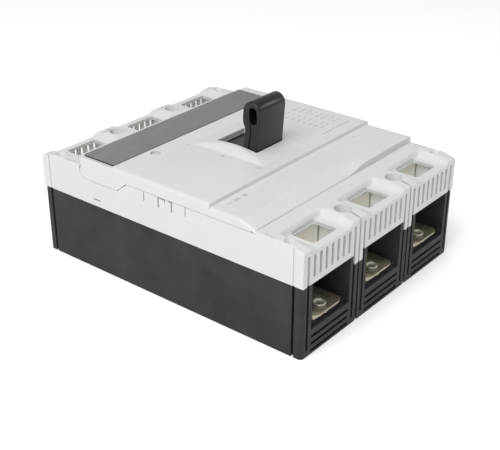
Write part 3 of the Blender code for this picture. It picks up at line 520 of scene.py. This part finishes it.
def build_base():
    """The dark lower shell: open at the terminals, hollow at each pole."""
    footprint = rounded_box(-HALF_W, HALF_W, -HALF_L, HALF_L, CORNER_ROUND, steps=6)
    body = prism("Z", footprint, 0, BASE_TOP)
    above = BASE_TOP + OVER
    sill_in = HALF_L - SILL_THICK

    # The open rooms at the terminals, and the seats of the bars and their nuts
    cutters = six_chambers(CHAMBER_HALF, CHAMBER_IN, TAB_FOOT_Y + GAP, LEDGE, above)
    cutters += six_chambers(CHAMBER_HALF, TAB_FOOT_Y, sill_in, TAB_BOTTOM - GAP, above)
    cutters += six_chambers(CHAMBER_HALF, sill_in - OVER / 2, HALF_L + OVER, SILL_Z, above)
    cutters += six_chambers(BAR_HIGH.x + GAP, CELL_END - OVER, CHAMBER_IN + OVER, LEDGE, BAR_HIGH.z + GAP)
    cutters += [prism("Z", disc(x, sign * NUT_Y, NUT_POCKET_R, steps=32), LEDGE, TAB_BOTTOM)
                for x in POLES.values() for sign in ENDS.values()]

    # The hollow of each pole, and the notches that the crossbar turns in
    for y0, y1, z0, z1 in ((-CELL_END, CELL_END, LEDGE, above), (WELL_Y0, WELL_Y1, WELL_Z, LEDGE + OVER)):
        cutters += [block(x - CELL_HALF, x + CELL_HALF, y0, y1, z0, z1) for x in POLES.values()]
    cutters += [block(x - BAR_NOTCH_HALF, x + BAR_NOTCH_HALF, CROSSBAR_Y0, CROSSBAR_Y1, CROSSBAR_Z, above)
                for x in (-MOUNT_X, MOUNT_X)]

    # Slots and slits in the outside
    cutters += end_slots(-OVER, above, SIDE_SLOT_FOOT, above)
    cutters += side_slits(half=1.2, deep=3.0, z0=-OVER, z1=above)
    cutters += foot_chamfers()
    slot_half_x = CHAMBER_HALF - 0.4
    for z in SILL_SLOTS:
        for x in POLES.values():
            outline = rounded_box(x - slot_half_x, x + slot_half_x, z - SILL_SLOT_HALF, z + SILL_SLOT_HALF,
                                  radius=0.5, steps=2)
            for sign in ENDS.values():
                cutters.append(prism("Y", outline, *along(sign, HALF_L - SLOT_DEPTH, HALF_L + OVER)))
    finger_room = FINGER_HALF + GAP
    cutters += [block(x - finger_room, x + finger_room,
                      *along(sign, HALF_L - FINGER_DEPTH - GAP, HALF_L + OVER), FINGER_Z - GAP, above)
                for x in (-MOUNT_X, MOUNT_X) for sign in ENDS.values()]

    # Mounting holes and screw holes
    cutters += four_corners(MOUNT_X, MOUNT_Y, MOUNT_BORE_R, -OVER, MOUNT_SEAT_Z + OVER)
    cutters += four_corners(MOUNT_X, MOUNT_Y, MOUNT_R, MOUNT_SEAT_Z, above)
    cutters += four_corners(CORNER_X, CORNER_Y, SCREW_BORE_R, SCREW_BORE_Z, above)
    cut(body, *cutters)
    return publish(body, "base_shell", "casing", "base_moulding", BASE, "base_case")


# ---------------------------------------------------------------- main cover

SLOPE_Y = HALF_L - END_SLOPE   # where the top begins to fall towards an end
SLOPE_BLEND = 3.0


def terminal_height(x, y):
    """Top of the main cover: a seat under the front cover, a slope to each end, a dish at each pole."""
    y = abs(y)
    seat_end = FRONT_Y1 + GAP + 0.05
    if y < seat_end:
        return SEAM_Z - GAP
    slope = ease(y, SLOPE_Y - SLOPE_BLEND, SLOPE_Y + SLOPE_BLEND) * (y - HALF_L + END_SLOPE) / END_SLOPE
    top = TERMINAL_TOP - (TERMINAL_TOP - END_EDGE_Z) * max(0.0, slope)
    nearest = min(abs(x - pole) for pole in POLES.values())
    sink = (1 - ease(nearest, DISH_FLOOR_HALF, DISH_RIM_HALF)) * ease(y, DISH_IN_Y, DISH_IN_Y + DISH_RUN)
    top += (DISH_FLOOR_Z - top) * sink
    return top - roll(HALF_L - y, END_ROUND) - roll(HALF_W - abs(x), SIDE_ROUND)


def terminal_lines():
    """Grid lines of the main cover's top, close together where it bends."""
    last_from_pole, clear_of_side = 33, 1.5
    from_pole = spread((0, 3), (DISH_FLOOR_HALF - 1, 1), (DISH_FLOOR_HALF, 10), (DISH_RIM_HALF, 1),
                       (DISH_RIM_HALF + 1, 1), (last_from_pole, 1))
    xs = [pole + side * d for pole in POLES.values() for side in (-1, 1) for d in from_pole]
    xs = [x for x in xs if abs(x) < HALF_W - clear_of_side]
    edge = [HALF_W - SIDE_ROUND * t for t in (1.0, 0.7, 0.4, 0.15, 0.03, 0)]
    xs = sorted({round(x, 3) for x in xs + edge + [-e for e in edge]})
    ys = spread((FRONT_Y1 + GAP, 1), (FRONT_Y1 + 0.4, 2), (DISH_IN_Y, 9), (DISH_IN_Y + DISH_RUN, 4),
                (SLOPE_Y - SLOPE_BLEND, 5), (SLOPE_Y + SLOPE_BLEND, 3), (HALF_L - 1.4, 1))
    ys += [HALF_L - END_ROUND * t for t in (0.8, 0.55, 0.3, 0.12, 0.03, 0)]
    return xs, mirrored(ys)


def access_cutters(x, end, above):
    """The opening over a terminal, with a lip on its inner side."""
    made = []
    for lip, foot in ((0.0, CHAMBER_CEILING + ACCESS_LIP_THICK), (ACCESS_LIP, CHAMBER_CEILING - 1)):
        outline = rounded_box(x - ACCESS_LEFT, x + ACCESS_RIGHT[end],
                              *along(ENDS[end], ACCESS_Y0 + lip, ACCESS_Y1), ACCESS_ROUND)
        made.append(prism("Z", outline, foot, above - lip))
    return made


def vent_cutters(x, end):
    """Upright vents through the end panel of a chamber."""
    through = along(ENDS[end], HALF_L - PANEL_THICK - 1, HALF_L + OVER)
    made = []
    for i in range(VENTS):
        middle = x + (i - (VENTS - 1) / 2) * VENT_PITCH
        slot = rounded_box(middle - VENT_WIDTH / 2, middle + VENT_WIDTH / 2, VENT_Z0, VENT_Z1,
                           radius=0.6, steps=2)
        made.append(prism("Y", slot, *through))
    return made


# Small notches and sills of the latch on a long side: middle, width, top and foot below the seam
LATCH_MARKS = ((17.6, 0.8, 0, 8.0), (2.4, 1.5, 0, 9.2), (-1.0, 5.6, 0.8, 1.5), (-4.3, 0.8, 0.8, 3.4),
               (-11.2, 1.7, 0, 9.0), (-10.0, 4.8, 0.8, 1.6), (-24.9, 0.8, 0, 8.2))


def side_cutters(side, above):
    """What is cut into a long side: the room of the skirt, the latch, a catch, and marks by the corners."""
    skirt_depth, latch_depth, catch_depth, dot_depth, dash_depth = WALL + GAP, 1.6, 1.4, 1.0, 0.8
    catch_y, catch_z, dot_place = (66.5, 75), (64.2, 65.6), (101.6, 98.3)
    dash_x, dash_y, latch_over = (102.2, 103.4), (100.6, 107.6), 0.4
    made = [prism("X", skirt_outline(GAP), *along(side, HALF_W - skirt_depth, HALF_W + OVER))]
    for y, width, top, foot in LATCH_MARKS:
        made.append(block(*along(side, HALF_W - latch_depth, HALF_W + OVER), y - width / 2, y + width / 2,
                          SEAM_Z - foot, SEAM_Z - top + latch_over))
    catch = rounded_box(*catch_y, *catch_z, radius=0.6, steps=2)
    made.append(prism("X", catch, *along(side, HALF_W - catch_depth, HALF_W + OVER)))
    for sign in ENDS.values():
        dot = disc(side * dot_place[0], sign * dot_place[1], radius=0.9, steps=16)
        dash = rounded_box(*along(side, *dash_x), *along(sign, *dash_y), radius=0.5, steps=2)
        made.append(prism("Z", dot, TERMINAL_TOP - dot_depth, above))
        made.append(prism("Z", dash, TERMINAL_TOP - dash_depth, above))
    return made


def build_main_cover():
    """The light upper shell, with the dishes, openings and vents over the terminals."""
    xs, ys = terminal_lines()
    body = relief(xs, ys, terminal_height, COVER_BOTTOM, corner=CORNER_ROUND)
    above = TERMINAL_TOP + 2
    low = COVER_BOTTOM - OVER
    fingers = [block(x - FINGER_HALF, x + FINGER_HALF, *along(sign, HALF_L - FINGER_DEPTH, HALF_L - 0.02),
                     FINGER_Z, COVER_BOTTOM + 2) for x in (-MOUNT_X, MOUNT_X) for sign in ENDS.values()]
    fuse(body, *fingers)

    # The rooms at the terminals, with a groove at their inner corners, and the hollow of each pole
    cutters = six_chambers(CHAMBER_HALF, CHAMBER_IN, HALF_L - PANEL_THICK, low, CHAMBER_CEILING)
    cutters += [block(x - CELL_HALF, x + CELL_HALF, -CELL_END, CELL_END, low, COVER_CEILING)
                for x in POLES.values()]
    groove_half, groove_back, groove_front = 0.5, 2.4, 0.8
    for corner in [x + side * CHAMBER_HALF for x in POLES.values() for side in (-1, 1)]:
        cutters += [block(corner - groove_half, corner + groove_half,
                          *along(sign, CHAMBER_IN - groove_back, CHAMBER_IN + groove_front),
                          low, CHAMBER_CEILING - 0.4) for sign in ENDS.values()]

    # The openings over the terminals, and the vents in front of them
    for x in POLES.values():
        for end in ENDS:
            cutters += access_cutters(x, end, above)
            cutters += vent_cutters(x, end)

    # Room for the trip bar and the mechanism
    cutters += [block(x - BAR_NOTCH_HALF, x + BAR_NOTCH_HALF, TRIP_BAR_Y0, TRIP_BAR_Y1, low, TRIP_BAR_TOP)
                for x in (-MOUNT_X, MOUNT_X)]
    cutters.append(block(-MECHANISM_HALF, MECHANISM_HALF, MECHANISM_Y0, MECHANISM_Y1,
                         COVER_CEILING - OVER, above))

    # Slots, slits and holes of the outside
    cutters += end_slots(FINGER_Z - OVER, above, low, SIDE_SLOT_TOP)
    cutters += side_slits(half=0.8, deep=0.5, z0=low, z1=above)
    cutters += four_corners(MOUNT_X, MOUNT_Y, MOUNT_R, low, above)
    cutters += four_corners(CORNER_X, CORNER_Y, CORNER_R, CORNER_RECESS_Z, above)
    cutters += four_corners(CORNER_X, CORNER_Y, SCREW_BORE_R, low, CORNER_RECESS_Z + OVER)
    cutters.append(prism("Z", disc(*BUTTON_MIDDLE, STEM_BORE_R), STEM_BORE_Z, above))
    for side in (-1, 1):
        cutters += side_cutters(side, above)
    cut(body, *cutters)
    piece = publish(body, "upper_shell", "casing", "cover_moulding", COVER, "main_cover")
    paint_recess_light(piece)
    return piece


def paint_recess_light(piece):
    """Paint the chamber walls, the screw recesses and the mounting holes lighter than the cover, as painted
    light inside them; the back walls get a cream tone that is brightened too.
    """
    for material in (INSULATOR_CREAM_AND_PAINTED_LIGHT, RECESS_PAINTED_LIGHT, BORE_PAINTED_LIGHT):
        piece.data.materials.append(material)
    cream_and_painted_light, painted_light_walls, bore = 1, 2, 3
    near = 0.05
    for face in piece.data.polygons:
        centre = face.center / MM
        x, y = abs(centre.x), abs(centre.y)
        in_pole = min(abs(centre.x - pole) for pole in POLES.values()) < CHAMBER_HALF + near
        # Painted light: the back walls get the brightened cream, the side walls a lighter copy of the cover
        # plastic
        if in_pole and centre.z < CHAMBER_CEILING + near and y > CHAMBER_IN - near:
            if y < CHAMBER_IN + near:
                face.material_index = cream_and_painted_light
            elif y < HALF_L - PANEL_THICK + near:
                face.material_index = painted_light_walls
        # Painted light on the walls of the corner screw recesses
        if math.dist((x, y), (CORNER_X, CORNER_Y)) < CORNER_R + near:
            face.material_index = painted_light_walls
        # Painted light on the mounting-hole walls
        upright = abs(face.normal.z) < 0.5
        if upright and math.dist((x, y), (MOUNT_X, MOUNT_Y)) < MOUNT_R + near:
            face.material_index = bore


def skirt_outline(grow):
    """Side view of the flap that the front cover hangs over the main cover."""
    low, near, far = 80.4 - grow, 36.6 - grow, 88.6 + grow
    slant, radius, top = 10.5, 6, SEAM_Z + 2
    return ([(near, top), (near, SEAM_Z - grow), (near + slant, low)]
            + arc((far - radius, low + radius), radius, -90, 0, 6) + [(far, top)])


# ---------------------------------------------------------------- front cover

def hump_height(x, y):
    """The arched rise round the lever window, with sloped sides and softened ridges."""
    rise = HUMP_TOP - LEVEL_A
    radius = (HUMP_HALF_Y ** 2 + rise ** 2) / (2 * rise)
    offset = min(abs(y - HUMP_MID_Y), radius * 0.9)
    crown = HUMP_TOP - radius + math.sqrt(radius ** 2 - offset ** 2)
    side = LEVEL_A + (HUMP_HALF_X - abs(x)) * rise / HUMP_SLOPE
    end_steepness = 0.55
    ends = LEVEL_A + (HUMP_HALF_Y + 1.0 - abs(y - HUMP_MID_Y)) * end_steepness
    low, mid = sorted((crown, side, ends))[:2]
    ridge_width, ridge_drop = 0.5, 0.12
    blend = max(0.0, 1 - (mid - low) / ridge_width)
    return low - ridge_drop * blend * blend


NEAR_ROUND = 0.5


def front_height(x, y):
    """Top of the front cover: two levels, a ramp at the near edge, the hump and a far face that leans."""
    level = LEVEL_B + (LEVEL_A - LEVEL_B) * ease(y, STEP_Y - 0.5, STEP_Y + 0.5)
    if y < STEP_Y - 1:
        fall = min(1.0, max(0.0, (RAMP_TOP_Y - y) / (RAMP_TOP_Y - FRONT_Y0)))
        reach = 1 - ease(x, RAMP_X0, RAMP_X1)
        level -= (LEVEL_B - RAMP_END_Z) * fall * reach
    hump = hump_height(x, y)
    if hump > LEVEL_A:
        level = max(level, hump)
    if y > FAR_TOP_Y:
        level -= (y - FAR_TOP_Y) / (FRONT_Y1 - FAR_TOP_Y) * (LEVEL_A - TERMINAL_TOP - GAP)
    flattened = 0.8
    return level - roll(HALF_W - abs(x), FRONT_ROUND) * flattened - roll(y - FRONT_Y0, NEAR_ROUND)


def front_lines():
    """Grid lines of the front cover's top, close together where it bends."""
    edge = [HALF_W - FRONT_ROUND * t for t in (1.0, 0.8, 0.6, 0.4, 0.22, 0.1, 0.03, 0)]
    inner = HUMP_HALF_X - HUMP_SLOPE
    xs = spread((0, 3), (inner - 1, 4), (inner + 1, 5), (HUMP_HALF_X - 0.5, 3), (HUMP_HALF_X + 0.5, 6),
                (HALF_W - 6, 1))
    ramp = spread((RAMP_X0 - 1, 10), (RAMP_X1 + 1, 1))
    xs = sorted(set(mirrored(xs + edge)) | {round(v, 4) for v in ramp})
    y0, y1 = HUMP_MID_Y - HUMP_HALF_Y, HUMP_MID_Y + HUMP_HALF_Y
    ys = [FRONT_Y0 + NEAR_ROUND * t for t in (0, 0.1, 0.35, 0.7)]
    ys += spread((FRONT_Y0 + NEAR_ROUND, 6), (RAMP_TOP_Y - 1, 4), (RAMP_TOP_Y + 1, 4), (STEP_Y - 0.7, 1),
                 (STEP_Y - 0.5, 8), (STEP_Y + 0.5, 1), (STEP_Y + 0.7, 4), (y0 - 1.5, 8), (y0 + 4, 22),
                 (y1 - 4, 8), (y1 + 1.5, 8), (FAR_TOP_Y - 0.4, 1), (FAR_TOP_Y, 2), (FRONT_Y1, 1))
    return xs, sorted({round(v, 4) for v in ys})


def build_front_cover():
    """The light front over the middle of the casing, with its skirts and the lever window."""
    body = relief(*front_lines(), front_height, SEAM_Z)
    skirt = [prism("X", skirt_outline(0), *along(side, HALF_W - WALL, HALF_W)) for side in (-1, 1)]
    fuse(body, *skirt)
    inner_x = HALF_W - WALL
    low, above = SEAM_Z - OVER, LEVEL_A + 2
    room_half_x, room_half_y, room_foot, window_foot = 19.6, 26, 90, 92
    guard_room = arc((PIVOT.y, PIVOT.z), GUARD_RADIUS + 1, 70, 110, steps=24)
    guard_room += [(PIVOT.y - room_half_y, room_foot), (PIVOT.y + room_half_y, room_foot)]
    window = rounded_box(-WINDOW_HALF_X, WINDOW_HALF_X, WINDOW_Y0, WINDOW_Y1, radius=1.0, steps=3)
    button_room_r, button_room_depth, strip_room_depth = 4.15, 6, 1.0
    cutters = [
        block(-inner_x, inner_x, STEP_Y + WALL, FRONT_Y1 - WALL, low, LEVEL_A - WALL),
        block(-inner_x, inner_x, RAMP_TOP_Y + 1, STEP_Y + 4, low, LEVEL_B - WALL),
        prism("X", guard_room, -room_half_x, room_half_x),
        prism("Z", window, window_foot, HUMP_TOP + OVER),
        block(-HALF_W - OVER, STRIP_HIGH.x + GAP, STRIP_LOW.y - GAP, FRONT_Y1 + OVER,
              LEVEL_A - strip_room_depth, above),
        prism("Z", disc(*BUTTON_MIDDLE, button_room_r), LEVEL_A - button_room_depth, above),
    ]
    cut(body, *cutters)
    return publish(body, "front_shell", "casing", "cover_moulding", COVER, "front_cover", angle=28)


def build_window_scale():
    """The ribbed strip on the far wall of the lever window."""
    ribs, half, low, high = 34, WINDOW_HALF_X - 0.4, 100.4, 102.2
    crest, valley, back = WINDOW_Y1 - 0.45, WINDOW_Y1 - 0.1, WINDOW_Y1 + 0.4
    step = 2 * half / ribs
    outline = []
    for i in range(ribs):
        x = -half + i * step
        outline += [(x, crest), (x + step * 0.55, crest),
                    (x + step * 0.62, valley), (x + step * 0.93, valley)]
    outline += [(half, back), (-half, back)]
    strip = prism("Z", outline, low, high)
    return publish(strip, "window_scale", "casing", "cover_moulding", SCALE)


PRINT_SUNK, PRINT_RAISED = 0.3, 0.05


def print_bar(x, y, width, length, level):
    """A short printed dash, its middle at (x, y)."""
    return block(x - width / 2, x + width / 2, y - length / 2, y + length / 2,
                 level - PRINT_SUNK, level + PRINT_RAISED)


def build_prints():
    """Plain marks: on and off beside the lever, a trip triangle, and blank rows in place of the wording."""
    low, high = LEVEL_A - PRINT_SUNK, LEVEL_A + PRINT_RAISED
    on_mark = print_bar(-33.5, 36.5, width=0.9, length=4.6, level=LEVEL_A)
    off_x, off_y = -32.8, -36.6
    off_mark = prism("Z", disc(off_x, off_y, radius=2.4, steps=28), low, high)
    cut(off_mark, prism("Z", disc(off_x, off_y, radius=1.6, steps=28), LEVEL_A - OVER, LEVEL_A + OVER))
    trip_mark = prism("Z", [(-35.2, -1.8), (-31.4, -1.8), (-33.3, 1.6)], low, high)
    marks = [off_mark, trip_mark]

    # A block of dashes at the right of the lever, with one row of heavier dashes below it
    rows, top_row_y, row_pitch, columns = 8, 15.5, 6.0, (66.0, 74.5, 84.5, 91.0)
    for row in range(rows):
        for column, x in enumerate(columns):
            width = 3.0 + (row * 5 + column * 3) % 4
            marks.append(print_bar(x, top_row_y - row_pitch * row, width, 1.1, LEVEL_A))
    last_row_x, last_row_y, dash_pitch = 56, -36.0, 5.0
    for i in range(8):
        width = 3.6 if i % 3 else 2.6
        marks.append(print_bar(last_row_x + i * dash_pitch, last_row_y, width, 1.8, LEVEL_A))

    # Dashes on the lower level: place across, width and length
    lower_row_y = -55.5
    for x, width, length in ((-90, 5.0, 0.8), (-81.5, 6.0, 3.0), (-72, 3.6, 3.0), (72, 4.0, 0.9)):
        marks.append(print_bar(x, lower_row_y, width, length, LEVEL_B))
    body = fuse(on_mark, *marks)
    return publish(body, "printed_marks", "casing", "cover_moulding", PRINT)


# ---------------------------------------------------------------- trim and lever

def build_strip():
    """The dark plate across the front cover, with its left end face painted black as shade."""
    outline = rounded_box(STRIP_LOW.x, STRIP_HIGH.x, STRIP_LOW.y, STRIP_HIGH.y, radius=0.8, steps=3)
    plate = prism("Z", outline, STRIP_LOW.z, STRIP_HIGH.z, rim=0.25, steps=2)
    piece = publish(plate, "strip_plate", "casing", "label_plate", STRIP, "label_strip")
    # Painted shade: the left end face takes the black lever finish, standing in for the shadow at that end
    piece.data.materials.append(LEVER)
    for face in piece.data.polygons:
        painted_shade_end = face.normal.x < -0.3 and face.normal.z < 0.3
        face.material_index = int(painted_shade_end)
    return piece


def on_lever(radius, across=0.0):
    """A (y, z) point at a distance from the lever's pivot, with the lever at off."""
    angle = math.radians(OFF_ANGLE)
    return (PIVOT.y + across * math.cos(angle) - radius * math.sin(angle),
            PIVOT.z + across * math.sin(angle) + radius * math.cos(angle))


def lever_outline():
    """Side view of the lever: straight on the near side, waisted on the far side, round at the crown."""
    foot_radius, foot_half = GUARD_RADIUS + 0.4, 7.7
    crown, crown_radius = (-16.5, 134.8), 8.2
    near, far = on_lever(foot_radius, -foot_half), on_lever(foot_radius, foot_half)
    waist = [(-8.6, 106.0), (-9.5, 112.5), (-10.0, 118.0), (-9.8, 120.2), (-8.3, 123.4), (-7.8, 125.2),
             (-7.8, 129.5), (-8.0, 132.0)]
    return [near, far] + waist + arc(crown, crown_radius, 0, 180, steps=24)


def stadium(start, end, half, steps=10):
    """A slot with round ends between two points."""
    heading = math.degrees(math.atan2(end[1] - start[1], end[0] - start[0]))
    return (arc(start, half, heading + 90, heading + 270, steps)
            + arc(end, half, heading - 90, heading + 90, steps))


def build_lever():
    """The lever, with an oblong pocket through it and a moulding groove in both sides."""
    handle = prism("X", lever_outline(), -LEVER_HALF, LEVER_HALF, rim=0.9, steps=3)
    pocket = stadium((-18.4, 128.4), (-18.2, 135.0), POCKET_HALF)
    groove = [(-16.4, 126.5), (-15.0, 126.5), (-14.9, 121.0), (-15.6, 117.0), (-13.9, 108.0), (-13.2, 99.5),
              (-14.9, 99.5), (-15.6, 108.0), (-17.2, 117.0), (-16.5, 121.0)]
    cutters = [prism("X", pocket, -LEVER_HALF - OVER, LEVER_HALF + OVER)]
    for side in (-1, 1):
        cutters.append(prism("X", groove, *along(side, LEVER_HALF - GROOVE_DEPTH, LEVER_HALF + OVER)))
    cut(handle, *cutters)
    return publish(handle, "handle", "lever_assembly", "lever_moulding", LEVER, "lever", angle=38)


def build_shield():
    """The curved plate that fills the window under the lever."""
    pivot = (PIVOT.y, PIVOT.z)
    start, end = 90 + OFF_ANGLE - GUARD_HALF_ANGLE, 90 + OFF_ANGLE + GUARD_HALF_ANGLE
    outside = arc(pivot, GUARD_RADIUS, start, end, 64)
    inside = arc(pivot, GUARD_RADIUS - GUARD_THICK, end, start, 64)
    plate = prism("X", outside + inside, SHIELD_LOW.x, SHIELD_HIGH.x)
    return publish(plate, "lever_guard", "lever_assembly", "shield_moulding", SHIELD, "lever_shield")


AXIS_R = 0.001   # a profile that closes on its axis stays this far from it


def turned(name, profile, x, y, sides=48):
    """A profile of (radius, z) spun about an upright axis."""
    build = bmesh.new()
    rings = []
    for i in range(sides):
        a = 2 * math.pi * i / sides
        rings.append([build.verts.new(((x + r * math.cos(a)) * MM, (y + r * math.sin(a)) * MM, z * MM))
                      for r, z in profile])
    for a, b in zip(rings, rings[1:] + rings[:1]):
        for j in range(len(profile)):
            k = (j + 1) % len(profile)
            build.faces.new((a[j], b[j], b[k], a[k]))
    bmesh.ops.remove_doubles(build, verts=build.verts, dist=1e-7)
    return from_bmesh(name, build)


def build_button():
    """A round button with a ring, a sunk face and a screwdriver slot, on a thin stem."""
    x, y = BUTTON_MIDDLE
    top, foot = BUTTON_HIGH.z, BUTTON_LOW.z
    head, stem, head_foot, face = 3.8, 2.1, top - 2.8, top - 0.35
    slot_half_x, slot_half_y, slot_depth = 1.3, 0.35, 1.0
    profile = [(AXIS_R, face), (1.6, face), (1.9, top), (3.3, top), (3.65, top - 0.12),
               (head, top - 0.5), (head, head_foot), (stem, head_foot), (stem, foot), (AXIS_R, foot)]
    button = turned("button", profile, x, y, sides=40)
    cut(button, block(x - slot_half_x, x + slot_half_x, y - slot_half_y, y + slot_half_y,
                      top - slot_depth, top + OVER))
    return publish(button, "push_button", "trip_push", "button_moulding", BUTTON, "trip_button")


def tab_corner(x, side, sign, half, tip):
    """What is trimmed off one outer corner of a terminal tab."""
    start, bend, outside = x + side * (half - 6.5), x + side * (half - 1.2), x + side * (half + OVER)
    bend_y, end_y, outside_y = tip - 2.3, tip - 3.9, tip + OVER
    outline = [(start, outside_y), (start, tip), (bend, bend_y), (x + side * half, end_y),
               (outside, end_y), (outside, outside_y)]
    return [(a, sign * y) for a, y in outline]


def build_terminals():
    """The six bars, each stepping up to its tab; the line bars carry the fixed contacts."""
    for number, x in POLES.items():
        for end, sign in ENDS.items():
            source, nut = f"{end}_terminal_{number}", f"{end}_nut_{number}"
            low, high = node_box(source)
            inner, tip = sorted((abs(low.y), abs(high.y)))
            half, top = (high.x - low.x) / 2, BAR_HIGH.z
            riser_y, riser_z, taper_y = CHAMBER_IN + 0.6, low.z + TAB_RISER, tip - 2.5
            side_view = [(inner, low.z), (TAB_FOOT_Y, low.z), (TAB_FOOT_Y, TAB_BOTTOM),
                         (taper_y, TAB_BOTTOM), (tip, top - TAB_EDGE), (tip, top), (riser_y, top),
                         (riser_y, riser_z), (inner, riser_z)]
            outline = [(sign * y, z) for y, z in side_view]
            bar = prism("X", outline if sign > 0 else outline[::-1], x - half, x + half)
            outlines = [disc(x, middle_of(nut)[1], TAB_HOLE_R)]
            outlines += [tab_corner(x, side, sign, half, tip) for side in (-1, 1)]
            cut(bar, *[prism("Z", shape, low.z - OVER, top + OVER) for shape in outlines])
            soften(bar, width=0.3)
            if end == "line":
                contact_half, contact_y0, contact_y1 = 8, 57, 70
                fuse(bar, block(x - contact_half, x + contact_half, contact_y0, contact_y1,
                                riser_z - 1, high.z))
            publish(bar, f"{end}_busbar_{number}", "casing", "tinned_copper", TIN, source)
            build_collar(f"{end}_collar_{number}", nut, x)


def build_collar(name, nut, x):
    """A round nut pressed up through the bar, with a raised rim and a flange below."""
    low, high = node_box(nut)
    top, foot, flange = high.z - 1.1, low.z, (high.x - low.x) / 2
    rim, bore, mouth, flange_top = flange - 1.3, 3.2, 4.4, foot + 2.1
    profile = [(bore, top - 1.5), (mouth - 0.4, top - 0.5), (mouth, top), (rim - 0.4, top - 0.05),
               (rim, top - 0.5), (rim, flange_top), (flange, flange_top), (flange, foot), (bore, foot)]
    collar = turned("collar", profile, x, (low.y + high.y) / 2)
    publish(collar, name, "casing", "nut_steel", NUT, nut)


def build_screws():
    """Cover screws with a chamfered head and a hexagonal socket."""
    for number in range(1, 5):
        source = f"cover_screw_{number}"
        low, high = node_box(source)
        x, y = middle_of(source)
        top, rim = high.z, (high.x - low.x) / 2
        seat, shank, socket, socket_depth = top - 3.9, 1.9, 1.6, 2.0
        profile = [(AXIS_R, top), (rim - 0.8, top), (rim - 0.25, top - 0.2), (rim, top - 0.8), (rim, seat),
                   (shank, seat), (shank, low.z), (AXIS_R, low.z)]
        screw = turned("screw", profile, x, y, sides=36)
        cut(screw, prism("Z", disc(x, y, socket, steps=6), top - socket_depth, top + OVER))
        publish(screw, f"corner_screw_{number}", "casing", "screw_steel", STEEL, source)


def finish_inner_parts():
    """The pieces under the covers keep their CAD shape and get their finish."""
    finishes = {
        "crossbar": BROWN, "trip_bar": BROWN, "cradle": STEEL, "lever_yoke": STEEL, "upper_link": STEEL,
        "lower_link": STEEL, "mechanism_plate": STEEL, "main_spring": SPRING, "trip_button_spring": SPRING,
        "arc_chute": FIBRE, "magnet_yoke": STEEL, "armature": STEEL, "bimetal": BIMETAL,
        "flexible_braid": COPPER, "moving_contact": COPPER,
    }
    for name, item in frame["nodes"].items():
        for start, material in finishes.items():
            if name.startswith(start):
                item.data.materials.clear()
                item.data.materials.append(material)


# ---------------------------------------------------------------- studio

def build_studio():
    """A pale floor that glows faintly, an even white world and three soft lights, sizes in metres."""
    ground = bpy.data.meshes.new("floor")
    build = bmesh.new()
    bmesh.ops.create_grid(build, x_segments=1, y_segments=1, size=6.0)
    build.to_mesh(ground)
    build.free()
    floor = new_object("floor", ground)
    floor.location.z = -0.2 * MM
    paint = bpy.data.materials.new("floor_paint")
    paint.use_nodes = True
    shader = paint.node_tree.nodes["Principled BSDF"].inputs
    shader["Base Color"].default_value = (0.93, 0.93, 0.93, 1)
    shader["Roughness"].default_value = 0.9
    shader["Emission Color"].default_value = (1, 1, 1, 1)
    shader["Emission Strength"].default_value = 0.16
    ground.materials.append(paint)

    world = bpy.data.worlds.new("studio")
    bpy.context.scene.world = world
    world.use_nodes = True
    sky = world.node_tree.nodes["Background"].inputs
    sky["Color"].default_value = (1, 1, 1, 1)
    sky["Strength"].default_value = 0.46
    aim = Vector((0, 0, 0.05))
    for name, place, size, watts in (
        ("key_soft", (-1.25, -0.28, 1.42), 1.3, 22.5),
        ("top_soft", (-0.4, 0.1, 2.0), 1.5, 12.0),
        ("rim_soft", (1.1, -0.85, 0.78), 0.45, 2.2),
    ):
        light = bpy.data.lights.new(name, "AREA")
        light.energy = watts
        light.size = size
        lamp = bpy.data.objects.new(name, light)
        lamp.location = place
        lamp.rotation_euler = (aim - Vector(place)).to_track_quat("-Z", "Y").to_euler()
        bpy.context.scene.collection.objects.link(lamp)


def build_camera():
    """A long lens, above the near left corner."""
    azimuth, elevation, tilt = (math.radians(a) for a in (-51.14, 27.65, 0.18))
    back = Vector((math.sin(azimuth) * math.cos(elevation), -math.cos(azimuth) * math.cos(elevation),
                   math.sin(elevation)))
    flat = Vector((math.cos(azimuth), math.sin(azimuth), 0.0))
    rise = back.cross(flat)
    right = flat * math.cos(tilt) + rise * math.sin(tilt)
    up = rise * math.cos(tilt) - flat * math.sin(tilt)
    data = bpy.data.cameras.new("camera")
    data.sensor_width = 36.0
    data.lens = 72.39
    data.clip_start = 0.01
    data.clip_end = 50.0
    camera = bpy.data.objects.new("camera", data)
    target, distance = Vector((-38.8, -33.3, 50.0)), 800.05
    place = (target + back * distance) * MM
    camera.matrix_world = Matrix.Translation(place) @ Matrix((right, up, back)).transposed().to_4x4()
    bpy.context.scene.collection.objects.link(camera)
    bpy.context.scene.camera = camera


bpy.context.scene.view_settings.view_transform = "Standard"
build_camera()
build_studio()
build_base()
build_main_cover()
build_front_cover()
build_window_scale()
build_prints()
build_strip()
build_lever()
build_shield()
build_button()
build_terminals()
build_screws()
finish_inner_parts()
